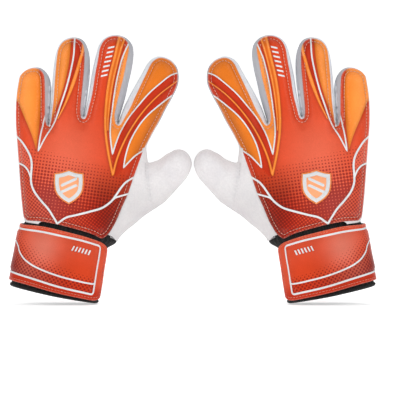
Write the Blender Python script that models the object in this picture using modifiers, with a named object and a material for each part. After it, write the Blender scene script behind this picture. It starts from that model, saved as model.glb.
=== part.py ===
"""Pair of goalkeeper gloves, worn-shape and upright: +Z along the fingers, backs of the hands
facing -Y, thumbs pointing at each other across the plane X = 0. The left glove lies at -X and
the right glove is its mirror image. Dimensions are millimetres in the left glove's frame,
angles are degrees; at() turns a place into metres."""
import bpy
import bmesh
from collections import namedtuple
from contextlib import contextmanager
from math import copysign, cos, hypot, pi, radians, sin, sqrt, tan
from types import SimpleNamespace
from mathutils import Matrix, Vector

MILLIMETRE = 0.001
SHIFT_Y = 1.05         # these two place the pair's box symmetrically about Y = 0
SHIFT_Z = -0.482       # and stand it on Z = 0
BACK, PALM = -1, 1     # sign of Y on either face of the hand

SHEET = 3.0            # bonded latex foam and lining sheet of back panel and palm
LATEX = SHEET - 0.4    # plain latex of finger rolls, thumb and gusset

# ------------------------------------------------------------------ finger dimensions
# base: axis point on the root flex line; tip: centre of the fingertip rounding;
# half width and half depth of the back strip; out: how far the latex roll stands out
# on the -X side and on the +X side; flex: distance from base to the middle flex line
Finger = namedtuple("Finger", "base tip half_width half_depth out flex")
FINGERS = {
    "index": Finger((-48.7, 173.4), (-27.6, 217.1), 15.4, 12.6, (4.0, 0.4), 30.0),
    "middle": Finger((-86.2, 183.5), (-73.8, 240.8), 13.7, 12.4, (1.0, 4.0), 34.0),
    "ring": Finger((-120.4, 183.4), (-116.1, 238.9), 13.4, 12.2, (1.4, 4.0), 32.0),
    "little": Finger((-153.6, 176.2), (-152.7, 210.9), 12.8, 11.6, (0.4, 4.0), 22.0),
}
CURL_MAX = 60.0        # bend at each finger flex line
PRE_CURVE = 0.0014     # fingers bow towards the palm by this times distance squared
STRIP_START = 0.9      # back strip: distance from the root flex line
STRIP_GAP = 0.6        # and from the middle flex line
ROLL_START = 1.0       # the same two for the latex roll
ROLL_GAP = 0.8
NOTCH_LEAD = 0.5       # the roll's notches begin this far behind the axis plane
STRIP_ACROSS = (-1, -0.82, -0.5, 0, 0.5, 0.82, 1)
ROLL_ANGLES = (-7, 18, 48, 90, 132, 162, 187)
STRIP_TIP_ANGLES = (25, 45, 63, 80)     # stations round the fingertip
ROLL_TIP_ANGLES = (25, 45, 62, 76)

# ------------------------------------------------------------------ hand dimensions
# stations from wrist to finger roots: little-side x, z; thumb-side x, z;
# depth to the back, depth to the palm
HAND = [
    (-158.6, 70.0, -74.0, 48.0, 24.5, 25.5),
    (-160.6, 82.0, -66.0, 62.0, 24.0, 25.5),
    (-162.4, 97.0, -52.8, 77.0, 23.4, 26.5),
    (-164.6, 118.0, -40.8, 101.0, 22.0, 27.0),
    (-166.6, 141.0, -42.3, 124.9, 19.6, 24.5),
    (-168.0, 160.0, -41.0, 148.0, 16.4, 19.0),
    (-168.4, 178.0, -33.0, 164.0, 12.6, 13.6),
    (-168.4, 196.0, -30.0, 188.0, 12.4, 12.8),
]
HAND_ACROSS = (-1.0, -0.985, -0.93, -0.82, -0.6, -0.3, 0.0, 0.3, 0.6, 0.82, 0.93, 0.985, 1.0)
HAND_CORE = (-106, 0, 125)      # a point inside the hand

# x, z outline of the one-piece back panel below the finger flex lines
BACK_OUTLINE = [
    (-159.3, 80.8), (-162.6, 103.1), (-165.0, 130.6), (-166.9, 154.4), (-167.6, 172.4),
    (-167.2, 175.6), (-140.7, 175.6), (-140.5, 172.9), (-139.4, 169.6), (-137.2, 167.9),
    (-134.8, 169.6), (-133.8, 173.4), (-133.5, 182.0), (-107.2, 182.0), (-107.2, 180.0),
    (-105.9, 177.0), (-104.0, 175.7), (-101.7, 177.0), (-100.5, 181.0), (-99.3, 185.7),
    (-73.4, 180.0), (-74.5, 175.8), (-73.9, 171.9), (-71.3, 169.2), (-68.5, 170.0),
    (-66.0, 173.8), (-63.0, 179.6), (-35.2, 165.8), (-38.9, 161.0), (-43.7, 153.0),
    (-47.3, 145.8), (-52.2, 132.5), (-57.0, 119.2), (-61.8, 104.5), (-66.8, 93.6),
    (-72.9, 79.3), (-77.2, 70.8), (-81.4, 65.2), (-86.2, 64.0), (-95.9, 66.6),
    (-110.4, 70.8), (-128.9, 75.5), (-144.3, 78.6), (-156.8, 80.0),
]
# x, z outline of the white latex between the back panel's thumb edge and the thumb seam
GUSSET_OUTLINE = [
    (-46.2, 147.0), (-44.2, 146.0), (-43.6, 133.0), (-42.6, 117.3), (-41.6, 104.6),
    (-46.5, 84.6), (-55.9, 76.6), (-63.8, 70.3), (-71.2, 63.2), (-79.6, 63.4),
    (-76.4, 69.3), (-72.1, 77.8), (-65.8, 92.9), (-60.9, 103.8), (-56.1, 118.6),
    (-51.3, 131.9),
]
# x, z outline of the latex palm below the finger flex lines
PALM_OUTLINE = [
    (-161.4, 90.5), (-163.0, 103.0), (-165.4, 130.6), (-167.2, 154.4), (-167.9, 166.5),
    (-141.0, 166.5), (-134.0, 167.5), (-133.6, 174.0), (-107.0, 174.0), (-100.4, 174.0),
    (-99.0, 177.0), (-74.2, 171.8), (-73.5, 167.0), (-65.0, 167.0), (-61.2, 170.0),
    (-40.5, 159.5), (-44.5, 153.0), (-48.8, 144.0), (-48.6, 132.0), (-47.5, 117.3),
    (-46.4, 104.0), (-48.5, 90.0), (-56.0, 82.0), (-65.0, 74.5), (-73.0, 69.8),
    (-90.0, 74.5), (-120.0, 81.8),
]
CUT_NEAR, CUT_FAR = 0.4, 45     # the outlines cut between these distances from Y = 0
GUSSET_SINK = 1.0               # gusset lies this much below the back panel's surface

LINING = 0.8
LINING_SPAN = (1.9, 5.4)        # first and last hand station of the lining
LINING_SIDE_INSET = 6.5
LINING_DEPTH_INSET = 5.2
LINING_ACROSS = (-1, -0.92, -0.7, -0.35, 0, 0.35, 0.7, 0.92)

BADGE_X, BADGE_Z = -117.0, 110.5
BADGE_BELOW, BADGE_ABOVE = 15.5, 14.5
BADGE_HALF_WIDTH = 15.0
BADGE_BOW = 2.2                 # bulge of its lower and upper edges
BADGE_LIFT = 0.5
BADGE_THICK = 2.0

# ------------------------------------------------------------------ thumb dimensions
# base: point on its seam; tip: centre of its tip rounding; flex: distance to its flex line
THUMB = SimpleNamespace(
    base=(-41.5, 115.4), tip=(-14.2, 132.2), flex=19.5,
    base_half_width=18.5, tip_half_width=13.2, base_half_depth=13.5, tip_half_depth=11.5)
THUMB_FOLD = 40.0
THUMB_START = 1.6
THUMB_SLANT = 0.50              # slant of the seam across the thumb
THUMB_BACK_SLOPE = 0.1          # opening of its joints on the back side
THUMB_GAP = 0.8
THUMB_TIP_ANGLES = (25, 45, 62, 78)

# ------------------------------------------------------------------ cuff dimensions
CUFF_X, CUFF_Z = -135.6, 9.3    # centre of the lower rim
CUFF_LEAN = radians(13.0)       # lean of the axis towards +X
CUFF_ACROSS = (cos(CUFF_LEAN), -sin(CUFF_LEAN))
CUFF_UP = (sin(CUFF_LEAN), cos(CUFF_LEAN))
CUFF_HALF_WIDTH, CUFF_HALF_DEPTH, CUFF_HEIGHT = 38.0, 24.0, 57.6
CUFF_WIDENING, CUFF_THINNING = 0.035, 0.03      # change of the half sizes per mm of height
CUFF_SQUARENESS = 2.7           # exponent of the wrist's oval
CUFF_MIDDLE = 30.0
SLEEVE = 2.0
SLEEVE_BOTTOM = 1.4
BINDING_HEIGHT = 0.9
BINDING_OUT, BINDING_IN = 1.2, -SLEEVE - 0.8    # offsets from the sleeve's outside
WRIST_HEIGHT = 60.0             # wrist flex line above the rim

STRAP = 2.6
STRAP_BOTTOM, STRAP_TOP = 3.0, 56.5
STRAP_CORNER = 6.0              # corner radius at the free end
STRAP_MM_PER_DEGREE = 0.62
STRAP_FOLDS = (168, 249.5)      # angles of the fold lines either side of the middle length

# ------------------------------------------------------------------ clean start
for old in list(bpy.data.objects):
    bpy.data.objects.remove(old, do_unlink=True)
model = bpy.data.collections.new("goalkeeper_gloves")
helpers = bpy.data.collections.new("cutters")
bpy.context.scene.collection.children.link(model)
bpy.context.scene.collection.children.link(helpers)


# ------------------------------------------------------------------ materials
def make_material(name, colour, roughness):
    material = bpy.data.materials.new(name)
    material.use_nodes = True
    inputs = material.node_tree.nodes["Principled BSDF"].inputs
    inputs["Base Color"].default_value = colour
    inputs["Roughness"].default_value = roughness
    inputs["Metallic"].default_value = 0.0
    return material


# name, base colour RGBA, roughness
MATERIALS = {row[0]: make_material(*row) for row in (
    ("back_panel", (0.70, 0.09, 0.03, 1), 0.38),
    ("palm_latex", (0.80, 0.80, 0.81, 1), 0.60),
    ("cuff_elastic", (0.012, 0.012, 0.013, 1), 0.85),
    ("strap_outer", (0.70, 0.09, 0.03, 1), 0.38),
    ("hook_loop", (0.02, 0.02, 0.02, 1), 0.95),
    ("badge", (0.85, 0.45, 0.25, 1), 0.45),
    ("lining", (0.10, 0.10, 0.11, 1), 0.90),
)}


# ------------------------------------------------------------------ geometry tools
def at(x, y, z):
    return Vector((x, y + SHIFT_Y, z + SHIFT_Z)) * MILLIMETRE


def lerp(start, end, fraction):
    return start + (end - start) * fraction


def spaced(start, end, steps):
    return [lerp(start, end, i / steps) for i in range(steps + 1)]


def oval(angle, power):
    """Cosine and sine of the angle, each raised to the power with its sign kept."""
    pair = cos(radians(angle)), sin(radians(angle))
    return [copysign(abs(value) ** power, value) for value in pair]


def digit_axis(digit):
    """Length from base to tip centre, direction along, direction across towards +X."""
    (base_x, base_z), (tip_x, tip_z) = digit.base, digit.tip
    length = hypot(tip_x - base_x, tip_z - base_z)
    along = ((tip_x - base_x) / length, (tip_z - base_z) / length)
    return length, along, (along[1], -along[0])


def digit_point(digit, distance, side=0.0, y=0.0):
    """Point at a distance along a finger's or the thumb's axis, off to the side and at depth y."""
    _, along, across = digit_axis(digit)
    return at(digit.base[0] + along[0] * distance + across[0] * side, y,
              digit.base[1] + along[1] * distance + across[1] * side)


def cap(distance, length, radius):
    """Narrowing of a rounded tip: 1 before its centre, falling to 0 at its end."""
    beyond = max(0.0, (distance - length) / radius)
    return sqrt(1.0 - beyond * beyond)


# ------------------------------------------------------------------ mesh tools
@contextmanager
def editing(mesh):
    edit = bmesh.new()
    edit.from_mesh(mesh)
    yield edit
    edit.to_mesh(mesh)
    edit.free()


def weld(mesh, distance):
    """Merge coincident points and turn the faces outward; distance in metres."""
    with editing(mesh) as edit:
        bmesh.ops.remove_doubles(edit, verts=edit.verts, dist=distance)
        bmesh.ops.recalc_face_normals(edit, faces=edit.faces)


def grid_mesh(name, rows, closed=False):
    """Surface through rows of points of equal length; closed joins each row's ends."""
    mesh = bpy.data.meshes.new("L_" + name)
    count = len(rows[0])
    with editing(mesh) as edit:
        verts = [[edit.verts.new(point) for point in row] for row in rows]
        for low, high in zip(verts, verts[1:]):
            for i in range(count if closed else count - 1):
                j = (i + 1) % count
                edit.faces.new((low[i], low[j], high[j], high[i]))
    return mesh


def add_left(name, mesh, slot):
    """Object of the left glove."""
    obj = bpy.data.objects.new("L_" + name, mesh)
    model.objects.link(obj)
    mesh.materials.append(MATERIALS[slot])
    return obj


def thicken(obj, thick, offset=-1.0):
    modifier = obj.modifiers.new("thickness", "SOLIDIFY")
    modifier.thickness = thick * MILLIMETRE
    modifier.offset = offset
    return modifier


def shell(name, rows, thick, slot, core, outward=False, closed=False):
    """Sheet of even thickness on the rows, growing away from the core point or towards it."""
    mesh = grid_mesh(name, rows, closed)
    facing = sum((face.center - core).dot(face.normal) * face.area for face in mesh.polygons)
    if facing < 0:
        mesh.flip_normals()
    obj = add_left(name, mesh, slot)
    modifier = thicken(obj, thick, 1.0 if outward else -1.0)
    modifier.use_even_offset = True
    modifier.use_quality_normals = True
    return obj


def outline_cutter(name, outline, face):
    """Prism along Y over one face of the hand, from a filled 2D curve."""
    curve = bpy.data.curves.new(name, "CURVE")
    curve.dimensions = "2D"
    curve.fill_mode = "BOTH"
    curve.extrude = (CUT_FAR - CUT_NEAR) * MILLIMETRE / 2
    spline = curve.splines.new("POLY")
    spline.points.add(len(outline) - 1)
    for point, (x, z) in zip(spline.points, outline):
        point.co = (x * MILLIMETRE, (z + SHIFT_Z) * MILLIMETRE, 0, 1)
    spline.use_cyclic_u = True
    source = bpy.data.objects.new(name + "_curve", curve)
    helpers.objects.link(source)
    source.rotation_euler = (pi / 2, 0, 0)
    source.location = (0, (face * (CUT_NEAR + CUT_FAR) / 2 + SHIFT_Y) * MILLIMETRE, 0)
    bpy.context.view_layer.update()
    graph = bpy.context.evaluated_depsgraph_get()
    mesh = bpy.data.meshes.new_from_object(source.evaluated_get(graph), depsgraph=graph)
    cutter = bpy.data.objects.new(name, mesh)
    cutter.matrix_world = source.matrix_world.copy()
    helpers.objects.link(cutter)
    bpy.data.objects.remove(source)
    weld(mesh, 1e-6)
    cutter.hide_render = True
    cutter.display_type = "WIRE"
    return cutter


# ------------------------------------------------------------------ fingers
def strip_point(finger, distance, across):
    """Point on the outside of the back strip; across runs -1 to 1."""
    narrowing = cap(distance, digit_axis(finger)[0], finger.half_width)
    depth = finger.half_depth * (0.55 + 0.45 * narrowing) * (1.0 - 0.32 * abs(across) ** 2.6)
    return digit_point(finger, distance, finger.half_width * across * narrowing,
                       -depth + PRE_CURVE * distance * distance)


def roll_half_width(finger):
    return finger.half_width + sum(finger.out) / 2


def roll_point(finger, distance, angle):
    """Point on the outside of the latex roll: 0 is its +X wall, 90 the palm side, 180 -X."""
    half_width = roll_half_width(finger)
    narrowing = cap(distance, digit_axis(finger)[0], half_width)
    across, deep = oval(angle, 0.8)
    side = (finger.out[1] - finger.out[0]) / 2 + half_width * narrowing * across
    y = finger.half_depth * narrowing * deep + PRE_CURVE * distance * distance
    return digit_point(finger, distance, side, y)


def strip_rows(finger, half):
    if half == "base":
        start, end = STRIP_START, finger.flex - STRIP_GAP
        distances = [lerp(start, end, fraction) for fraction in (0.0, 0.5, 1.0)]
    else:
        length = digit_axis(finger)[0]
        start = finger.flex + STRIP_GAP
        distances = [start, lerp(start, length, 0.6), length]
        distances += [length + finger.half_width * sin(radians(a)) for a in STRIP_TIP_ANGLES]
    return [[strip_point(finger, distance, across) for across in STRIP_ACROSS]
            for distance in distances]


def roll_rows(finger, half):
    """Latex roll of one half, notched at the flex lines so that it can curl."""
    length = digit_axis(finger)[0]
    rows = []
    for fraction in (0.0, 0.5, 1.0):
        row = []
        for angle in ROLL_ANGLES:
            depth = max(0.0, finger.half_depth * sin(radians(angle)) + NOTCH_LEAD)
            notch = depth * tan(radians(CURL_MAX / 2))
            if half == "base":
                start, end = ROLL_START + notch, finger.flex - ROLL_GAP - notch
            else:
                start, end = finger.flex + ROLL_GAP + notch, length
            row.append(roll_point(finger, lerp(start, end, fraction), angle))
        rows.append(row)
    if half == "tip":
        for tip_angle in ROLL_TIP_ANGLES:
            distance = length + roll_half_width(finger) * sin(radians(tip_angle))
            rows.append([roll_point(finger, distance, angle) for angle in ROLL_ANGLES])
    return rows


def build_finger(name, finger):
    (base_x, base_z), (tip_x, tip_z) = finger.base, finger.tip
    core = at((base_x + tip_x) / 2, 0, (base_z + tip_z) / 2)
    for half in ("base", "tip"):
        shell(f"{name}_back_{half}", strip_rows(finger, half), SHEET, "back_panel", core)
        shell(f"{name}_latex_{half}", roll_rows(finger, half), LATEX, "palm_latex", core)


# ------------------------------------------------------------------ hand
def hand_section(station):
    """Columns of HAND at a fractional station."""
    i = min(int(station), len(HAND) - 2)
    return [lerp(low, high, station - i) for low, high in zip(HAND[i], HAND[i + 1])]


def bulge(across):
    """Depth profile of the hand: 1 in the middle, 0 at the edges -1 and 1."""
    return sqrt(1.0 - abs(across) ** 3)


def hand_point(station, across, face, lift=0.0):
    """Point above the back or palm surface; across runs from -1, little side, to 1."""
    left_x, left_z, right_x, right_z, back, palm = hand_section(station)
    fraction = (across + 1) / 2
    depth = (palm if face == PALM else back) + lift
    return at(lerp(left_x, right_x, fraction), face * depth * bulge(across),
              lerp(left_z, right_z, fraction))


def on_back(x, z, lift):
    """Point above the back surface at (x, z), at the nearest fortieth of a station."""
    def locate(station):
        left_x, left_z, right_x, right_z, _, _ = hand_section(station)
        fraction = (x - left_x) / (right_x - left_x)
        return abs(lerp(left_z, right_z, fraction) - z), fraction

    station = min((i / 40 for i in range(281)), key=lambda v: locate(v)[0])
    fraction = locate(station)[1]
    y = hand_point(station, 2 * fraction - 1, BACK, lift).y
    return Vector((x * MILLIMETRE, y, (z + SHIFT_Z) * MILLIMETRE))


def hand_sheet(name, cutter_name, outline, stations, face, thick, slot, lift=0.0):
    """Sheet on one face of the hand, trimmed to its outline."""
    rows = [[hand_point(station, across, face, lift) for across in HAND_ACROSS]
            for station in stations]
    sheet = shell(name, rows, thick, slot, at(*HAND_CORE))
    modifier = sheet.modifiers.new("outline", "BOOLEAN")
    modifier.operation = "INTERSECT"
    modifier.solver = "EXACT"
    modifier.object = outline_cutter("L_" + cutter_name, outline, face)


def build_lining():
    """Knitted lining bonded inside: a tube open at the wrist and at the fingers."""
    ring = [(across, BACK) for across in LINING_ACROSS]
    ring += [(-across, PALM) for across in LINING_ACROSS]
    rows = []
    for station in spaced(*LINING_SPAN, 6):
        left_x, left_z, right_x, right_z, back, palm = hand_section(station)
        half_x, half_z = (right_x - left_x) / 2, (right_z - left_z) / 2
        inner = 1.0 - LINING_SIDE_INSET / hypot(half_x, half_z)
        row = []
        for across, face in ring:
            depth = (palm if face == PALM else back) - LINING_DEPTH_INSET
            row.append(at((left_x + right_x) / 2 + half_x * inner * across,
                          face * depth * bulge(across),
                          (left_z + right_z) / 2 + half_z * inner * across))
        rows.append(row)
    shell("hand_lining", rows, LINING, "lining", at(*HAND_CORE), closed=True)


def build_badge():
    """Shield on the back panel: narrow at the bottom, slightly drawn in at the top."""
    rows = []
    for rise in spaced(0.0, 1.0, 6):
        z = lerp(BADGE_Z - BADGE_BELOW, BADGE_Z + BADGE_ABOVE, rise)
        half_width = BADGE_HALF_WIDTH * min(1.0, sqrt(rise * 1.9) * 0.92 + 0.10)
        if rise >= 0.75:
            half_width *= lerp(1.0, 0.80, (rise - 0.75) / 0.25)
        rows.append([on_back(BADGE_X + half_width * across,
                             z + BADGE_BOW * (1 - across * across) * (rise - 0.5), BADGE_LIFT)
                     for across in spaced(-1.0, 1.0, 4)])
    shell("badge", rows, BADGE_THICK, "badge", at(*HAND_CORE), outward=True)


def build_hand():
    stations = spaced(0, 7, 14)
    hand_sheet("hand_back", "cut_back", BACK_OUTLINE, stations, BACK, SHEET, "back_panel")
    hand_sheet("thumb_gusset", "cut_gusset", GUSSET_OUTLINE, stations[:12], BACK, LATEX,
               "palm_latex", lift=-GUSSET_SINK)
    hand_sheet("hand_palm", "cut_palm", PALM_OUTLINE, stations, PALM, SHEET, "palm_latex")
    build_lining()
    build_badge()


# ------------------------------------------------------------------ thumb
def thumb_point(distance, angle):
    """Point on the thumb's outside: 90 is the palm side, 270 the back."""
    length = digit_axis(THUMB)[0]
    fraction = min(1.0, max(0.0, distance / length))
    half_width = lerp(THUMB.base_half_width, THUMB.tip_half_width, fraction)
    half_depth = lerp(THUMB.base_half_depth, THUMB.tip_half_depth, fraction)
    narrowing = cap(distance, length, THUMB.tip_half_width)
    across, deep = oval(angle, 0.85)
    return digit_point(THUMB, distance, half_width * narrowing * across,
                       half_depth * narrowing * deep)


def thumb_opening(angle):
    """How far the thumb's pieces draw back from a joint: a fold notch on the palm side."""
    depth = THUMB.base_half_depth * sin(radians(angle))
    return depth * tan(radians(THUMB_FOLD / 2)) if depth > 0 else -depth * THUMB_BACK_SLOPE


def build_thumb():
    """Seamed tube in two pieces, closed at its tip."""
    length = digit_axis(THUMB)[0]
    angles = spaced(0, 360, 16)[:-1]

    base_rows = []
    for fraction in (0.0, 0.5, 1.0):
        row = []
        for angle in angles:
            side = THUMB.base_half_width * cos(radians(angle))
            start = THUMB_START - THUMB_SLANT * side + thumb_opening(angle)
            end = THUMB.flex - THUMB_GAP - thumb_opening(angle)
            row.append(thumb_point(lerp(start, end, fraction), angle))
        base_rows.append(row)
    shell("thumb_base", base_rows, LATEX, "palm_latex", digit_point(THUMB, 0), closed=True)

    tip_rows = [[thumb_point(lerp(THUMB.flex + THUMB_GAP + thumb_opening(angle), length,
                                  fraction), angle) for angle in angles]
                for fraction in (0.0, 1.0)]
    for tip_angle in THUMB_TIP_ANGLES:
        distance = length + THUMB.tip_half_width * sin(radians(tip_angle))
        tip_rows.append([thumb_point(distance, angle) for angle in angles])
    mesh = grid_mesh("thumb_tip", tip_rows, closed=True)

    # close the small opening at the far end
    tip_x, tip_z = THUMB.tip
    centre = at(tip_x, 0, tip_z)
    with editing(mesh) as edit:
        rim = [edge for edge in edit.edges if edge.is_boundary and all(
            (vert.co - centre).length < 16 * MILLIMETRE
            and vert.co.x > (tip_x + 4) * MILLIMETRE for vert in edge.verts)]
        bmesh.ops.contextual_create(edit, geom=rim)
        bmesh.ops.recalc_face_normals(edit, faces=edit.faces)
    thicken(add_left("thumb_tip", mesh, "palm_latex"), LATEX)


# ------------------------------------------------------------------ cuff and strap
def cuff_frame(height, x=0.0, y=0.0):
    """Point at a height up the cuff's leaning axis, off it by x across and y deep."""
    return at(CUFF_X + CUFF_ACROSS[0] * x + CUFF_UP[0] * height, y,
              CUFF_Z + CUFF_ACROSS[1] * x + CUFF_UP[1] * height)


def cuff_point(angle, height, off):
    """Point off the sleeve's outside: 0 thumb side, 90 palm, 180 little side, 270 back."""
    across, deep = oval(angle, 2 / CUFF_SQUARENESS)
    half_width = CUFF_HALF_WIDTH + CUFF_WIDENING * height + off
    half_depth = CUFF_HALF_DEPTH - CUFF_THINNING * height + off
    return cuff_frame(height, half_width * across, half_depth * deep)


def build_cuff():
    angles = spaced(0, 360, 24)[:-1]
    rows = [[cuff_point(angle, height, 0) for angle in angles]
            for height in (SLEEVE_BOTTOM, CUFF_MIDDLE, CUFF_HEIGHT)]
    shell("cuff_sleeve", rows, SLEEVE, "cuff_elastic", cuff_frame(CUFF_MIDDLE), closed=True)

    # folded tape round the rim: a closed ring with a flat underside
    section = ((BINDING_OUT, 0.0), (BINDING_OUT, BINDING_HEIGHT),
               (BINDING_IN, BINDING_HEIGHT), (BINDING_IN, 0.0))
    rows = [[cuff_point(angle, height, off) for angle in angles] for off, height in section]
    mesh = grid_mesh("cuff_binding", rows + rows[:1], closed=True)
    weld(mesh, 1e-7)
    add_left("cuff_binding", mesh, "cuff_elastic")


def strap_off(angle):
    """Gap from sleeve to strap: small where it is sewn, wider over the hook and loop."""
    return 0.5 + 2.1 * min(1.0, max(0.0, (angle - 172) / 80.0))


def strap_rows(start, end, steps, round_end=False):
    rows = []
    for angle in spaced(start, end, steps):
        trim = 0.0
        left = (end - angle) * STRAP_MM_PER_DEGREE
        if round_end and left < STRAP_CORNER:
            trim = STRAP_CORNER - sqrt(STRAP_CORNER ** 2 - (STRAP_CORNER - left) ** 2)
        heights = spaced(STRAP_BOTTOM + trim, STRAP_TOP - trim, 2)
        rows.append([cuff_point(angle, height, strap_off(angle)) for height in heights])
    return rows


def patch_rows(start, end, heights, off):
    return [[cuff_point(angle, height, off) for height in heights]
            for angle in spaced(start, end, 6)]


def build_strap():
    """Sewn length on the palm side, two loose ones round to the back, and their patches."""
    for name, rows, thick, slot in (
        ("strap_anchor", strap_rows(42, 166, 10), STRAP, "strap_outer"),
        ("strap_middle", strap_rows(170, 248, 7), STRAP, "strap_outer"),
        ("strap_end", strap_rows(251, 343, 9, round_end=True), STRAP, "strap_outer"),
        ("loop_patch", patch_rows(272, 332, (8.0, 52.0), 0.45), 0.7, "hook_loop"),
        ("hook_patch", patch_rows(274, 330, (10.0, 50.0), 1.5), 0.75, "hook_loop"),
    ):
        shell(name, rows, thick, slot, cuff_frame(CUFF_MIDDLE), outward=True)


# ------------------------------------------------------------------ bodies and joints
def strap_fold(angle):
    return cuff_point(angle, CUFF_MIDDLE, strap_off(angle) + STRAP)


# moving body: parent body, place of its joint on the left glove, its pieces
BODIES = {
    "cuff": (None, cuff_frame(0),
             ["cuff_sleeve", "cuff_binding", "strap_anchor", "loop_patch"]),
    "strap_middle": ("cuff", strap_fold(STRAP_FOLDS[0]), ["strap_middle"]),
    "strap_end": ("strap_middle", strap_fold(STRAP_FOLDS[1]), ["strap_end", "hook_patch"]),
    "hand": ("cuff", cuff_frame(WRIST_HEIGHT),
             ["hand_back", "hand_palm", "thumb_gusset", "hand_lining", "badge"]),
    "thumb_base": ("hand", digit_point(THUMB, 0), ["thumb_base"]),
    "thumb_tip": ("thumb_base", digit_point(THUMB, THUMB.flex), ["thumb_tip"]),
}
for name, finger in FINGERS.items():
    BODIES[name + "_base"] = (
        "hand", digit_point(finger, 0), [name + "_back_base", name + "_latex_base"])
    BODIES[name + "_tip"] = (
        name + "_base", digit_point(finger, finger.flex, y=PRE_CURVE * finger.flex ** 2),
        [name + "_back_tip", name + "_latex_tip"])


def mirror_glove():
    """Right glove: finished meshes of the left one, mirrored in X = 0."""
    bpy.context.view_layer.update()
    graph = bpy.context.evaluated_depsgraph_get()
    for _, _, pieces in BODIES.values():
        for piece in pieces:
            left = bpy.data.objects["L_" + piece].evaluated_get(graph)
            mesh = bpy.data.meshes.new_from_object(left, depsgraph=graph)
            mesh.name = "R_" + piece
            mesh.transform(Matrix.Diagonal((-1, 1, 1, 1)))
            mesh.flip_normals()
            model.objects.link(bpy.data.objects.new("R_" + piece, mesh))


def attach(child, parent):
    """Parent without moving the child."""
    child.parent = parent
    child.matrix_parent_inverse = parent.matrix_world.inverted()


def add_joints(side, sign):
    """An empty on each joint's axis, carrying the pieces that move with it."""
    joints = {}
    for body, (_, place, _) in BODIES.items():
        joint = bpy.data.objects.new(side + body + "_joint", None)
        joint.empty_display_size = 0.01
        joint.location = (place.x * sign, place.y, place.z)
        model.objects.link(joint)
        joints[body] = joint
    bpy.context.view_layer.update()
    for body, (parent, _, pieces) in BODIES.items():
        for piece in pieces:
            attach(bpy.data.objects[side + piece], joints[body])
        if parent:
            attach(joints[body], joints[parent])


def smooth_meshes():
    for obj in model.objects:
        if obj.type == "MESH":
            for face in obj.data.polygons:
                face.use_smooth = True
            obj.data.set_sharp_from_angle(angle=radians(40))


build_cuff()
build_strap()
build_hand()
for name, finger in FINGERS.items():
    build_finger(name, finger)
build_thumb()
mirror_glove()
add_joints("L_", 1)
add_joints("R_", -1)
smooth_meshes()
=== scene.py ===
"""Looks of a pair of goalkeeper gloves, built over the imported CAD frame.

Everything is laid out in millimetres in the left glove's own frame: x across the hand with
the thumb towards +x, z along the fingers, -y towards the back of the hand. The right glove
is its mirror image. A flat point is (x, z); a line is an array of flat points.
"""

import math
from collections import namedtuple

import bpy
import numpy as np
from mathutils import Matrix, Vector, noise
from mathutils.geometry import delaunay_2d_cdt


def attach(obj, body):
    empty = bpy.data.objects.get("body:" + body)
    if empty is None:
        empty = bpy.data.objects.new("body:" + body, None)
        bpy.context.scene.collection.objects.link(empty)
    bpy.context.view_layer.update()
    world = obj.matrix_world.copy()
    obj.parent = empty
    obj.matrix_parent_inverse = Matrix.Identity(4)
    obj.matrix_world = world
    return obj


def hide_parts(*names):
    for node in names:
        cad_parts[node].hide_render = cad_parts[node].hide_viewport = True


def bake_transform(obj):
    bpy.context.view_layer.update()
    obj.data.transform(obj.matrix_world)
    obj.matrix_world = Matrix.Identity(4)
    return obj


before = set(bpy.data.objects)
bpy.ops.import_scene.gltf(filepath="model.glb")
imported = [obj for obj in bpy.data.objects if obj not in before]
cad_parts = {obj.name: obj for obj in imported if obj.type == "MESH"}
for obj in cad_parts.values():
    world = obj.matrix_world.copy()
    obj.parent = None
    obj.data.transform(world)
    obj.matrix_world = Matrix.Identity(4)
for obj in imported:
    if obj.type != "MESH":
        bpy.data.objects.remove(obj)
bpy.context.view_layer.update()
bpy.context.scene.view_settings.view_transform = "Standard"

# ---------------------------------------------------------------- driving dimensions
MM = 0.001
SHIFT = np.array([0, 1.05, -0.482])       # from the drawing frame to the CAD's
EYE = np.array([6.9, 98.8])               # where the drawn lines are looked at from, (x, z)
EYE_DISTANCE = 1500
MIDDLE_BEND = 8.0                         # half the length of a finger's middle bend
PRE_CURVE = 0.0014                        # the fingers' bow towards the palm
THUMB_BASE = np.array([-41.5, 115.4])
THUMB_TIP = np.array([-14.2, 132.2])
THUMB_CREASE = 19.5
THUMB_ALONG = (THUMB_TIP - THUMB_BASE) / np.linalg.norm(THUMB_TIP - THUMB_BASE)
THUMB_SIDE = np.array([0.998, 0.065])     # square to the thumb's hinge
THUMB_BEND = (-4.0, 5.0)                  # start and end along THUMB_SIDE
THUMB_END_AT = 15.0                       # where the thumb's end piece begins
# stations up the hand: little-finger side, thumb side, depth of back, depth of palm
HAND = [
    ((-158.6, 70), (-74, 48), 24.5, 25.5),
    ((-160.6, 82), (-66, 62), 24, 25.5),
    ((-162.4, 97), (-52.8, 77), 23.4, 26),
    ((-164.6, 118), (-40.8, 101), 22, 26.5),
    ((-166.6, 141), (-42.3, 124.9), 19.6, 24),
    ((-168, 160), (-41, 148), 16.4, 18.5),
    ((-168.4, 178), (-33, 164), 12.8, 13.4),
    ((-168.4, 196), (-30, 188), 12.2, 12.6),
]
CUFF_ORIGIN = (-135.6, 9.3)
CUFF_LEAN = math.radians(13.0)
CUFF_ACROSS = (math.cos(CUFF_LEAN), -math.sin(CUFF_LEAN))
CUFF_UP = (math.sin(CUFF_LEAN), math.cos(CUFF_LEAN))
CUFF_HALF_WIDTH, CUFF_HALF_DEPTH = 38.0, 24.0
CUFF_WIDEN, CUFF_THIN = 0.035, 0.03       # change of the half sizes per millimetre up
CUFF_SQUARENESS = 2.7                     # superellipse exponent of its section
STRAP_THICK = 2.6
STRAP_EDGE_DROP = 0.7
STRAP_LOW, STRAP_HIGH = 3.0, 56.5
STRAP_SCALE_HEIGHT = 57                   # height over which the strap's arching is spread

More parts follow.
